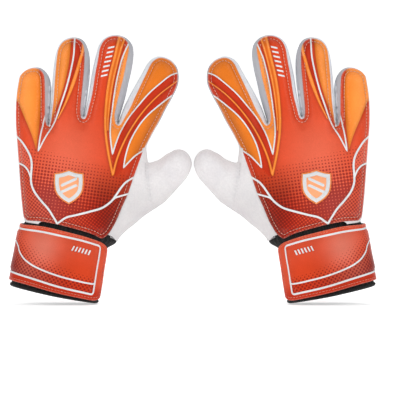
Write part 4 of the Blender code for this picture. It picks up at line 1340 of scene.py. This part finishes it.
def line_shade(points):
    """Darkening beside the borders, the strokes and the stitched groove."""
    shade = np.ones(len(points))
    for line in BORDERS:
        shade *= 1 - 0.30 * bell(line_distance(points, line), 1.7)
    for line, width, kind in STROKES.values():
        distance, nearest = nearest_on(points, line)
        beyond = np.maximum(0, distance - width[nearest])
        shade *= 1 - (0.34 if kind == "orange" else 0.16) * bell(beyond, 1.3)
    return shade * (1 - 0.16 * bell(line_distance(points, panel_line) - STITCH_INSET, 0.7))


def between_stripes(points):
    """Whether each point lies between the middle finger's two orange stripes."""
    edges = []
    for name in ("middle outer stripe", "middle inner stripe"):
        line = STROKES[name][0]
        line = line[:int(np.argmin(line[:, 1]))][::-1]
        edges.append(np.interp(points[:, 1], line[:, 1], line[:, 0]))
    return (points[:, 0] > edges[0]) & (points[:, 0] < edges[1]) & (points[:, 1] > 164)


def panel_paint(corners, middles, zones):
    """Colour per corner, and which faces belong to strokes."""
    paint = zone_paint(corners, zones)
    paint *= line_shade(corners.reshape(-1, 2)).reshape(-1, 3, 1)
    paint[between_stripes(middles)] = AMBER * np.array([0.92, 0.72, 0.8])
    on_stroke = np.zeros(len(middles), bool)
    # white strokes are painted over orange ones
    for wanted in ("orange", "white"):
        for line, width, kind in STROKES.values():
            if kind != wanted:
                continue
            distance, nearest = nearest_on(middles, line)
            hit = distance < width[nearest]
            on_stroke |= hit
            if kind == "white":
                paint[hit] = WHITE
            else:
                # painted highlight and shade: each orange stroke paler along its crest, darker
                # towards its edges
                distance, nearest = nearest_on(corners[hit].reshape(-1, 2), line)
                outward = np.clip(distance / width[nearest], 0, 1).reshape(-1, 3) ** 1.6
                paint[hit] = blend(PEACH, AMBER, outward)
    return paint, on_stroke


def panel_dots(corners, zones, on_stroke):
    """Halftone radii: square dots growing down the middle, slanted ones at the sides."""
    x, z = corners[..., 0], corners[..., 1]
    grow = np.clip((150 - (x + 155) * 0.27 - z) / (47 + 14 * ease((x + 132) / 34)), 0, 1)
    low_sides = zones["side_left"] | zones["side_right"]
    plain = low_sides | on_stroke
    for name in ("side_top", "thumb_edge", "index_patch", "index_dark", "little_orange"):
        plain = plain | zones[name]
    square = np.where(~plain[:, None] & (grow > 0),
                      np.minimum(0.19 + 0.50 * grow ** 0.9, 0.64), 0)
    slant = np.where((low_sides & ~on_stroke)[:, None], 0.42 + 0.13 * ease((104 - z) / 30), 0)
    slant = np.maximum(slant, np.where((zones["side_top"] & ~on_stroke)[:, None],
                                       0.06 + 0.26 * ease((168 - z) / 26), 0))
    return np.stack([square, slant], -1)


def finger_bars():
    """Slanted bars down the middle finger: start, end, direction of their width."""
    finger = FINGERS[1]
    way = finger.side * 2.9 + finger.along * 1.3
    centres = [finger.at(32.5 + i * 4.6, -4.2 + 0.1 * i) for i in range(7)]
    return [(centre - way, centre + way, finger.along) for centre in centres]


def build_panel():
    lines = BORDERS + CUTS
    for line, width, _ in STROKES.values():
        lines = lines + with_sides(line, width)
    rings = (0.35, 1.0, 1.9, 2.7, 3.4, 4.1, 5.2, 6.8, 8.8)
    flat, faces = triangulate(panel_line, lines, fill_points(panel_line, lines, rings, 1.75))
    edge = line_distance(flat, panel_line)
    height, bow = panel_base(flat)
    verts = np.c_[flat[:, 0], -(height + panel_relief(flat, edge)) + bow, flat[:, 1]]
    corners = flat[faces]
    middles = corners.mean(1)
    zones = {name: inside(middles, seen(line)) for name, line in ZONE_TABLE.items()}
    paint, on_stroke = panel_paint(corners, middles, zones)
    skin = Skin()
    skin.add(verts, faces, paint, dots=panel_dots(corners, zones, on_stroke))
    under = verts - vertex_normals(verts, faces) * 1.3
    wall_verts, wall, owner, _ = edge_wall(faces, verts, under, edge < 0.03)
    threads = stitches(inner_path(panel_line, STITCH_INSET), panel_y, gap=3.1, length=2.1,
                       radius=0.30, tones=[THREAD, THREAD * 1.12, THREAD * 0.92])
    regions = region(middles)
    for number, nodes in enumerate(PANEL_NODES):
        part = skin.pick(regions == number)
        mine = regions[owner] == number
        # painted shade: the edge walls a darker copy of the face colour
        part.add(wall_verts, wall[mine], paint[owner[mine]] * 0.8)
        add_threads(part, threads, number)
        for start, end, up in finger_bars():
            if region(np.array([(start + end) / 2]))[0] == number:
                bar_verts, bar_faces, normals = raised_bar(start, end, up, on_panel)
                part.add(bar_verts, bar_faces, WHITE, normals)
        piece("panel_" + REGION_NAMES[number], part, PANEL_SKIN, "back_panel", nodes,
              bend=BENDS[number])


# ---------------------------------------------------------------- badge
def build_badge():
    """A plain shield with two slanted bars."""
    outline = curve(seen(SHIELD_OUTLINE), 1.0)
    bars = [run_curve(seen([(-124.0, 106.5 + up), (-111.0, 112.5 + up)]), 1.0)
            for up in (0.0, 6.2)]
    bar_half = 1.3
    lines = [offset_line(bar, side) for bar in bars for side in (bar_half, -bar_half)]
    rings = (0.3, 0.9, 1.3, 1.7, 2.6, 3.6, 4.4, 4.9, 5.4)
    flat, faces = triangulate(outline, lines, fill_points(outline, lines, rings, 1.2))
    edge = line_distance(flat, outline)
    height, bow = panel_base(flat)
    relief = np.interp(edge, [0, 0.3, 0.9, 1.3, 1.7, 2.6, 3.6, 4.4, 4.9, 5.4, 7],
                       [0.5, 1.3, 1.5, 1.15, 1.6, 1.9, 1.85, 1.55, 1.05, 1.5, 1.75])
    for bar in bars:
        relief += 0.35 * (line_distance(flat, bar) < bar_half + 0.02)
    verts = np.c_[flat[:, 0], -(height + relief) + bow, flat[:, 1]]
    middles = flat[faces].mean(1)
    inset = line_distance(middles, outline)
    paint = np.zeros((len(faces), 3, 3))
    paint[:] = PEACH * 0.9 + np.array([0.08, 0.12, 0.14])
    paint[inset < 4.9] = WHITE * 0.92
    paint[inset < 1.3] = ORANGE
    for bar in bars:
        paint[line_distance(middles, bar) < bar_half] = WHITE * 0.92
    skin = Skin()
    skin.add(verts, faces, paint)
    under = verts - vertex_normals(verts, faces) * 1.6
    wall_verts, wall, _, _ = edge_wall(faces, verts, under, edge < 0.03)
    # painted shade: the edge wall a darker orange than the rim
    skin.add(wall_verts, wall, ORANGE * 0.85)
    piece("badge_shield", skin, BADGE_RUBBER, "badge", ["badge"], body="hand")


# ---------------------------------------------------------------- cuff
PLAIN = np.ones(3)
GAITER_BEND = ("cuff", "hand", cuff_axis(59.5), cuff_axis(74.0))


def cuff_surface(angle, height, offset, shift=0.0, half_width=None, half_depth=None):
    """Points round the cuff: angle in degrees from the thumb side, 90 palm, 270 back."""
    angle = np.radians(angle)
    if half_width is None:
        half_width = CUFF_HALF_WIDTH + CUFF_WIDEN * height
        half_depth = CUFF_HALF_DEPTH - CUFF_THIN * height
    c, s = np.cos(angle), np.sin(angle)
    power = 2 / CUFF_SQUARENESS
    x = shift + (half_width + offset) * np.abs(c) ** power * np.sign(c)
    y = (half_depth + offset) * np.abs(s) ** power * np.sign(s)
    flare = (7.6 - 6.4 * np.clip(height / 57.0, 0, 1)) * ease(x / 43.0)
    return np.stack([CUFF_ORIGIN[0] + CUFF_ACROSS[0] * x + CUFF_UP[0] * height + flare, y,
                     CUFF_ORIGIN[1] + CUFF_ACROSS[1] * x + CUFF_UP[1] * height], -1)


def ring_pattern(angle, height):
    """Texture positions: distance round the cuff, and height."""
    return np.c_[angle * 0.56, np.zeros(len(angle)), np.full(len(angle), height)]


def build_gaiter():
    """Black elastic: a puckered double-walled sleeve from the rim to inside the hand."""
    angle = np.linspace(0, 360, 240, endpoint=False)
    heights = np.r_[np.linspace(0.6, 50, 22), np.linspace(51.5, 74, 20)]

    def ring(height, offset):
        inside_hand = ease((height - 50) / 14)
        return cuff_surface(
            angle, height, offset, shift=5.4 * inside_hand,
            half_width=CUFF_HALF_WIDTH + CUFF_WIDEN * height + inside_hand * 3.6,
            half_depth=CUFF_HALF_DEPTH - CUFF_THIN * height + inside_hand * 0.6)

    rows = []
    for height in heights:
        pucker = 0.35 * np.sin(np.radians(angle) * 34 + 0.8 * np.sin(height * 0.11))
        pucker = pucker * (0.35 + 0.65 * np.sin(min(1, height / 8) * math.pi / 2))
        roll = 0.5 * math.sin(height * 0.55) * ease((height - 50) / 6)
        rows.append(ring(height, -0.25 + pucker + roll))
    rows += [ring(height, -2.2) for height in heights[::-1]]
    verts, faces = loft_ring(rows)
    if not faces_out(verts, faces, np.array(cuff_axis(35)), len(heights) * len(angle)):
        faces = faces[:, ::-1]
    skin = Skin()
    skin.add(verts, faces, PLAIN, pattern=np.vstack(
        [ring_pattern(angle, height) for height in np.r_[heights, heights[::-1]]]))
    piece("gaiter", skin, ELASTIC, "cuff_elastic", ["cuff_sleeve"], bend=GAITER_BEND)


def build_binding():
    """Binding tape rolled round the rim."""
    angle = np.linspace(0, 360, 180, endpoint=False)
    centre_height, radius = 1.7, 1.9
    rows = []
    for turn in np.radians(np.linspace(0, 360, 10, endpoint=False)):
        height = centre_height + 1.7 * math.sin(turn)
        ripple = 0.08 * np.sin(np.radians(angle) * 60)
        rows.append(cuff_surface(angle, height, -0.6 + radius * math.cos(turn) + ripple))
    verts, faces = loft_ring(rows)
    if not faces_out(verts, faces, np.array(cuff_axis(centre_height)), len(angle)):
        faces = faces[:, ::-1]
    skin = Skin()
    skin.add(verts, faces, PLAIN,
             pattern=np.vstack([ring_pattern(angle, i * 1.2) for i in range(10)]))
    piece("rim_binding", skin, BINDING, "cuff_elastic", ["cuff_binding"], body="cuff")


def build_lining():
    """Knitted lining: a closed sock inside the hand, facing inwards."""
    angle = np.linspace(0, 360, 96, endpoint=False)
    rows = []
    for height in (50, 58, 66, 76, 88, 100, 112, 124, 134, 141, 145):
        wider = ease((height - 52) / 20)
        closing = math.sqrt(max(0.0, 1 - max(0.0, (height - 120) / 25.2) ** 2))
        wobble = 1 + 0.012 * np.sin(np.radians(angle) * 9 + height * 0.2)
        half_width = 39.5 + wider * 3 + max(0, height - 66) * 0.10
        half_depth = 22.2 - max(0, height - 80) * 0.08
        rows.append(cuff_surface(
            angle, height, -3.2, shift=wider * (5.5 - (height - 58) * 0.17),
            half_width=half_width * (0.25 + 0.75 * closing) * wobble,
            half_depth=half_depth * (0.2 + 0.8 * closing) * wobble))
    verts, faces = loft(np.array(rows))
    centre, tip = verts.mean(0), len(verts)
    last = tip - len(angle)
    verts = np.vstack([verts, rows[-1].mean(0)])
    cap = [(last + i, last + (i + 1) % len(angle), tip) for i in range(len(angle))]
    faces = np.vstack([faces, cap])
    if faces_out(verts, faces, centre, tip):
        faces = faces[:, ::-1]
    skin = Skin()
    skin.add(verts, faces, PLAIN)
    piece("lining_sock", skin, LINING, "lining", ["hand_lining"], bend=GAITER_BEND)


def build_tape(name, material, angles, heights, offset, thick, node, body, seed):
    """A patch of hook or loop tape wrapped on the cuff, with a rough outer face."""
    columns, rows = 60, 40
    angle, height = np.meshgrid(np.linspace(*angles, columns), np.linspace(*heights, rows))
    rough = np.random.default_rng(seed).uniform(-0.12, 0.12, angle.shape)
    outer, outer_faces = loft(cuff_surface(angle, height, offset + thick + rough), False)
    inner, inner_faces = loft(cuff_surface(angle, height, offset), False)
    if faces_out(outer, outer_faces, np.array(cuff_axis(30))):
        inner_faces = inner_faces[:, ::-1]
    else:
        outer_faces = outer_faces[:, ::-1]
    count = columns * rows
    grid = np.arange(count).reshape(rows, columns)
    rim = np.concatenate([grid[0], grid[1:, -1], grid[-1, -2::-1], grid[-2:0:-1, 0]])
    following = np.roll(rim, -1)
    wall = np.stack([rim, following, following + count, rim, following + count, rim + count], -1)
    skin = Skin()
    skin.add(np.vstack([outer, inner]),
             np.vstack([outer_faces, inner_faces + count, wall.reshape(-1, 3)]), PLAIN,
             pattern=np.vstack([np.c_[angle.ravel() * 0.6, np.zeros(count),
                                      height.ravel()]] * 2))
    piece(name, skin, material, "hook_loop", [node], body=body)


# ---------------------------------------------------------------- strap
# laid out flat as (distance round, height) and wrapped onto the cuff
def strap_offset(angle):
    """Gap under the strap: it rises to pass over its own tape."""
    return 0.5 + 2.1 * np.clip((angle - 172) / 80.0, 0, 1)


ANGLES = np.linspace(30, 360, 1400)
RUN = lengths_along(cuff_surface(ANGLES, 30.0, strap_offset(ANGLES) + STRAP_THICK))
# how far the sheet's upper and lower edges arch up over the back of the wrist
ARCH = soften(np.interp(
    ANGLES, [150, 180, 200, 216, 238, 255, 266, 276, 294, 324, 343],
    [0, -0.4, -0.7, -0.6, 1.1, 2.4, 2.5, 1.9, 1.6, 0.4, 0]), 32)
BELLY = soften(np.interp(
    ANGLES, [165, 190, 216, 249, 276, 304, 343], [0, 0.0, 0.4, 1.0, 0.7, 0, 0]), 32)


def to_run(angle):
    return np.interp(angle, ANGLES, RUN)


def to_angle(run):
    return np.interp(run, RUN, ANGLES)


def past(run, angle, length):
    """Eases from 0 to 1 over the length that follows the angle."""
    return ease((run - to_run(angle)) / length)


def strap_shape(run, angle):
    """Rise of the lower edge, and stretch of the height: taller than the tape under it, with
    its free end hanging lower."""
    rise = 2.4 * (1 - past(run, 190, 75)) - 1.5 * past(run, 300, 38)
    rise = rise + np.interp(angle, ANGLES, BELLY)
    stretch = 1.042 + 0.02 * (1 - past(run, 285, 30))
    return rise, stretch + np.interp(angle, ANGLES, ARCH) / STRAP_SCALE_HEIGHT


def strap_height(run, level):
    rise, stretch = strap_shape(run, to_angle(run))
    return level * stretch + rise * (1 - level / STRAP_SCALE_HEIGHT)


def on_sheet(run, level, lift):
    """Points on the strap's outer face, raised by lift."""
    angle = to_angle(run)
    offset = strap_offset(angle) + STRAP_THICK - STRAP_EDGE_DROP + lift
    return cuff_surface(angle, strap_height(run, level), offset)


def front_to_run(points):
    """From (across, up) as seen from the back of the hand to the strap's flat layout."""
    laid = []
    for x, height in points:
        place = np.array([CUFF_ORIGIN[i] + CUFF_ACROSS[i] * x + CUFF_UP[i] * height
                          for i in (0, 1)])
        place = EYE + (place - EYE) * 0.983 - CUFF_ORIGIN
        x, height = place @ CUFF_ACROSS, place @ CUFF_UP
        half_width = CUFF_HALF_WIDTH + CUFF_WIDEN * height + 5.0
        cosine = min(1.0, abs(x) / half_width) ** (CUFF_SQUARENESS / 2)
        angle = 360 - math.degrees(math.acos(math.copysign(cosine, x)))
        run = to_run(angle)
        rise, stretch = strap_shape(run, angle)
        laid.append((run, (height - rise) / (stretch - rise / STRAP_SCALE_HEIGHT)))
    return laid


def rounded(left, right, low, high, left_radius, right_radius, step=1.3, long=1.0):
    """A rectangle with rounded corners; long stretches the right-hand ones."""
    near, far = left + left_radius, right - right_radius * long
    points = []
    for x, z, radius, start, stretch in (
            (near, low + left_radius, left_radius, 180, 1),
            (far, low + right_radius, right_radius, 270, long),
            (far, high - right_radius, right_radius, 0, long),
            (near, high - left_radius, left_radius, 90, 1)):
        for angle in np.linspace(start, start + 90, 9):
            points.append((x + stretch * radius * math.cos(math.radians(angle)),
                           z + radius * math.sin(math.radians(angle))))
    points = np.array(points + points[:1])
    lengths = lengths_along(points)
    return at_lengths(points, lengths, np.linspace(0, lengths[-1], int(lengths[-1] / step) + 1))


STRAP_START, STRAP_END = to_run(42), to_run(343)
STRAP_CUTS = (157.0, 214.0)               # angles where the strap's pieces part
CUT_RUNS = [to_run(angle) for angle in STRAP_CUTS]
FRAME_RIGHT = STRAP_END - 11.6
FRAME_HALF, SWEEP_HALF = 0.85, 0.72       # half widths of the two white lines


def strap_frame():
    """The white frame line, bent with the sheet."""
    line = rounded(STRAP_START + 8, FRAME_RIGHT, STRAP_LOW + 5.3, STRAP_HIGH - 3.6, 2.0, 2.6)
    full = STRAP_HIGH - STRAP_LOW
    turn = to_run(185)
    left = 1 - ease((line[:, 0] - turn) / (STRAP_END - turn))
    line[:, 1] += 3.2 * left * (1 - (line[:, 1] - STRAP_LOW) / full)
    angle, level = to_angle(line[:, 0]), (line[:, 1] - STRAP_LOW) / full
    top_in = soften(np.interp(ANGLES, [170, 216, 238, 266, 278, 294, 324],
                              [0.6, 1.0, 1.4, 1.4, 0.5, 0.5, 0.0]), 24)
    line[:, 1] -= (level * np.interp(angle, ANGLES, top_in)
                   + (1 - level) * np.interp(angle, ANGLES, BELLY) * 0.9)
    return line


def strap_sweep():
    """The white curved line, run on at both ends."""
    laid = front_to_run(STRAP_CURVE)
    start, level = laid[0]
    lead = [(start - back, level + up)
            for back, up in ((26, 7.2), (17, 6.3), (8, 4.6), (3, 2.5))]
    return run_curve(np.array(lead + laid[:-1] + [(FRAME_RIGHT, laid[-1][1])]), 1.4)


def strap_relief(flat, edge, in_frame, frame_distance, sweep_distance):
    relief = np.interp(edge, [0, 0.35, 1.0, 1.7, 2.4, 3.2], [-0.7, -0.1, 0, -0.05, -0.15, -0.05])
    relief += np.where(in_frame, 0.9 * ease(frame_distance / 4.0), 0)
    relief += (0.5 * dome(frame_distance / FRAME_HALF)
               - 0.35 * bell(frame_distance - 1.6, 0.6))
    relief += np.where(in_frame, 0.42 * dome(sweep_distance / SWEEP_HALF)
                       - 0.25 * bell(sweep_distance - 1.5, 0.6), 0)
    return relief + 0.35 * lumps(flat, 0.06, 20.0)


def strap_looks(flat, faces, frame, sweep, vertex_in_frame):
    """Colour and halftone radii per corner."""
    corners = flat[faces]
    middles = corners.mean(1)
    run, level = corners[..., 0], corners[..., 1]
    # painted highlight: a pool of light mid-strap and a paler band near the top
    painted_highlight = np.exp(-((run - to_run(258)) / 15) ** 2 - ((level - 36) / 19) ** 2)
    upper_highlight_band = 0.25 * bell(level - 46, 12) * (1 - 0.5 * past(run, 200, 80))
    paint = blend(RED * 0.90, np.array([0.66, 0.165, 0.11]), np.clip(upper_highlight_band + 0.85 * painted_highlight, 0, 1))
    in_frame = inside(middles, frame)
    below = (np.interp(middles[:, 0], sweep[:, 0], sweep[:, 1]) > middles[:, 1]) & in_frame
    deep = (DEEP * 0.85 + RED * 0.15) * np.array([0.94, 1, 1])
    # painted highlight: the deep red below the curve paler mid-strap
    paint[below] = blend(deep, np.array([0.46, 0.075, 0.045]),
                         bell(run[below] - to_run(243), 24))
    # the flange: a coral painted highlight up top, painted shade in deeper red low down
    paint[~in_frame] = blend(CORAL_HIGHLIGHT * 0.35 + RED * 0.60, RED * np.array([0.74, 0.5, 0.5]),
                             1 - ease((level[~in_frame] - 9) / 12))
    on_line = line_distance(middles, frame) < FRAME_HALF
    on_line |= (line_distance(middles, sweep) < SWEEP_HALF) & in_frame
    paint[on_line] = WHITE

    sweep_level = np.interp(flat[:, 0], sweep[:, 0], sweep[:, 1])
    low = (sweep_level > flat[:, 1]) & vertex_in_frame
    radius_low = np.where(low, 0.36 + 0.30 * ease((sweep_level - flat[:, 1]) / 26), 0)
    reach = 8 + 12 * (1 - past(flat[:, 0], 200, 75))
    rise = 1 - (flat[:, 1] - sweep_level) / reach
    radius_high = np.where(~low & vertex_in_frame & (rise > 0),
                           0.14 + 0.28 * np.clip(rise, 0, 1), 0)
    radius = np.where(below[:, None], radius_low[faces], radius_high[faces])
    radius = radius * (in_frame & ~on_line)[:, None]
    return paint, np.stack([radius, np.zeros_like(radius)], -1)


def strap_threads():
    """Stitches along the strap's flange, as (piece number, vertices, faces, tone)."""
    path = rounded(STRAP_START + 2.4, STRAP_END - 3.6, STRAP_LOW + 2.5, STRAP_HIGH - 1.9,
                   1.0, 5.0, step=1.0, long=2.2)
    lengths = lengths_along(path)
    pitch = 3.1
    threads = []
    for i in range(int(lengths[-1] // pitch)):
        flat = at_lengths(path, lengths, i * pitch + np.array([0, 0.6, 1.5, 2.1]))
        run, level = flat.T
        base = on_sheet(run, level, 0.0)
        outward = on_sheet(run, level, 1.0) - base
        outward /= np.linalg.norm(outward, axis=1)[:, None]
        lift = np.array([-0.2, 0.16, 0.16, -0.2])[:, None]
        verts, faces = tube(base + outward * lift, 0.27, outward)
        # painted shadow: stitches by the free end dark red, for the groove beside the white line
        if run[1] > STRAP_END - 6.5:
            tone = (0.44, 0.06, 0.03)
        elif level[1] > (STRAP_LOW + STRAP_HIGH) / 2:
            tone = (0.66, 0.12, 0.07)
        else:
            tone = (0.56, 0.15, 0.10)
        number = sum(to_angle(run[1]) >= angle for angle in STRAP_CUTS)
        threads.append((number, verts, faces, np.array(tone)))
    return threads


def strap_skin():
    """The whole strap and the piece number of each of its faces."""
    outline = rounded(STRAP_START, STRAP_END, STRAP_LOW, STRAP_HIGH, 2.0, 6.3, long=2.3)
    frame, sweep = strap_frame(), strap_sweep()
    lines = [np.array([[run, z] for z in np.linspace(STRAP_LOW, STRAP_HIGH, 30)])
             for run in CUT_RUNS]
    lines += with_sides(frame, FRAME_HALF) + with_sides(sweep, SWEEP_HALF)
    fill = fill_points(outline, lines, (0.35, 1.0, 1.7, 2.4), 1.9)
    flat, faces = triangulate(outline, lines, fill)
    in_frame = inside(flat, frame)
    relief = strap_relief(flat, line_distance(flat, outline), in_frame,
                          line_distance(flat, frame), line_distance(flat, sweep))
    run, level = flat.T
    angle = to_angle(run)
    outer = on_sheet(run, level, relief)
    inner = cuff_surface(angle, strap_height(run, level), strap_offset(angle) + 0.1)
    if not faces_out(outer, faces, np.array(cuff_axis(30))):
        faces = faces[:, ::-1]
    paint, dots = strap_looks(flat, faces, frame, sweep, in_frame)
    pattern = np.c_[run, np.zeros(len(flat)), level]
    skin = Skin()
    skin.add(outer, faces, paint, pattern=pattern, dots=dots)
    skin.add(inner, faces[:, ::-1], np.array([0.03, 0.03, 0.032]), pattern=pattern)
    wall_verts, wall, owner, source = edge_wall(faces, outer, inner)
    # painted shade: the edge walls a darker copy of the face colour
    skin.add(wall_verts, wall, paint[owner] * 0.7, pattern=pattern[source])
    runs = flat[faces].mean(1)[:, 0]
    runs = np.r_[runs, runs, runs[owner]]
    return skin, (runs > CUT_RUNS[0]).astype(int) + (runs > CUT_RUNS[1])


def strap_point(angle):
    return tuple(cuff_surface(angle, 30, strap_offset(angle) + STRAP_THICK))


def build_strap():
    skin, numbers = strap_skin()
    threads = strap_threads()
    # name, replaced node, how it is held
    table = (
        ("strap_sewn", "strap_anchor", {"body": "cuff"}),
        ("strap_wrap", "strap_middle",
         {"bend": ("cuff", "strap_middle", strap_point(157), strap_point(181))}),
        ("strap_free_end", "strap_end",
         {"bend": ("strap_middle", "strap_end", strap_point(238), strap_point(261))}),
    )
    for number, (name, node, hold) in enumerate(table):
        part = skin.pick(numbers == number)
        add_threads(part, threads, number)
        if name == "strap_free_end":
            for i in range(6):
                run = to_run(298.0) - 14.6 + i * 3.25
                verts, faces, normals = raised_bar(
                    np.array([run - 0.7, 41.8]), np.array([run + 0.7, 46.4]), (1, 0),
                    lambda points, lift: on_sheet(points[:, 0], points[:, 1], 1.05 + lift),
                    half=0.62, high=0.38)
                part.add(verts, faces, WHITE, normals)
        piece(name, part, STRAP_SKIN, "strap_outer", [node], **hold)


build_panel()
build_latex()
build_badge()
build_gaiter()
build_binding()
build_lining()
build_tape("loop_tape", LOOP_PILE, angles=(272, 332), heights=(8, 52), offset=0.2, thick=0.9,
           node="loop_patch", body="cuff", seed=1)
build_tape("hook_tape", HOOK_PILE, angles=(274, 330), heights=(10, 50), offset=1.55, thick=0.7,
           node="hook_patch", body="strap_end", seed=2)
build_strap()


# ---------------------------------------------------------------- stage, light and camera (m)
def floor_material():
    shader = Shader("pale_floor")
    tone = 0.93
    place = shader.node("ShaderNodeTexCoord", {}, "Object")
    drift = shader.remap(shader.noise(place, scale=3.0), (0.3, 0.7))
    shader.surface(
        Base_Color=shader.mix(drift, (tone * 0.99,) * 3 + (1,), (tone,) * 3 + (1,)),
        Roughness=0.9,
        Emission_Color=(1, 1, 1, 1),
        Emission_Strength=0.50)
    return shader.material


def build_floor():
    """A floor that sweeps up into a wall behind the gloves."""
    half_width, bend_start, radius = 4.0, 1.6, 0.8
    profile = [(-2.5, 0.0), (bend_start, 0.0)]
    for angle in range(10, 91, 10):
        turn = math.radians(angle)
        profile.append((bend_start + radius * math.sin(turn), radius - radius * math.cos(turn)))
    profile.append((bend_start + radius, 3.5))
    verts = [(x, y, z - 0.0006) for y, z in profile for x in (-half_width, half_width)]
    faces = [(2 * i, 2 * i + 1, 2 * i + 3, 2 * i + 2) for i in range(len(profile) - 1)]
    mesh = bpy.data.meshes.new("sweep_floor")
    mesh.from_pydata(verts, [], faces)
    for polygon in mesh.polygons:
        polygon.use_smooth = True
    floor = bpy.data.objects.new("sweep_floor", mesh)
    mesh.materials.append(floor_material())
    bpy.context.scene.collection.objects.link(floor)


def add_light(name, place, target, size, power):
    light = bpy.data.lights.new(name, "AREA")
    light.shape = "RECTANGLE"
    light.size, light.size_y = size
    light.energy = power
    obj = bpy.data.objects.new(name, light)
    obj.location = place
    way = Vector(target) - Vector(place)
    obj.rotation_euler = way.to_track_quat("-Z", "Y").to_euler()
    bpy.context.scene.collection.objects.link(obj)


def build_world():
    """Soft light from all round; the camera itself sees pure white."""
    world = bpy.data.worlds.new("studio")
    world.use_nodes = True
    tree = world.node_tree
    ambient = tree.nodes["Background"]
    ambient.inputs["Color"].default_value = (0.97, 0.98, 1.0, 1)
    ambient.inputs["Strength"].default_value = 0.33
    white = tree.nodes.new("ShaderNodeBackground")
    white.inputs["Color"].default_value = (1, 1, 1, 1)
    white.inputs["Strength"].default_value = 1.0
    ray = tree.nodes.new("ShaderNodeLightPath")
    swap = tree.nodes.new("ShaderNodeMixShader")
    tree.links.new(ray.outputs["Is Camera Ray"], swap.inputs[0])
    tree.links.new(ambient.outputs[0], swap.inputs[1])
    tree.links.new(white.outputs[0], swap.inputs[2])
    tree.links.new(swap.outputs[0], tree.nodes["World Output"].inputs[0])
    bpy.context.scene.world = world


def build_camera():
    lens = bpy.data.cameras.new("camera")
    lens.lens = 142.0
    lens.sensor_width = 36.0
    camera = bpy.data.objects.new("camera", lens)
    camera.location = (0.0069, -1.5, 0.0983)
    camera.rotation_euler = (math.radians(90), 0, 0)
    bpy.context.scene.collection.objects.link(camera)
    bpy.context.scene.camera = camera


build_floor()
add_light("left_soft", (-1.05, -0.95, 0.85), target=(-0.06, 0, 0.13), size=(0.7, 0.9), power=6.6)
add_light("right_soft", (1.05, -0.95, 0.85), target=(0.06, 0, 0.13), size=(0.7, 0.9), power=6.6)
add_light("front_soft", (0.0, -1.6, 0.9), target=(0, 0, 0.12), size=(1.6, 0.7), power=5.0)
add_light("back_soft", (0.0, 1.3, 1.5), target=(0, 0, 0.15), size=(1.6, 0.8), power=5)
build_world()
build_camera()
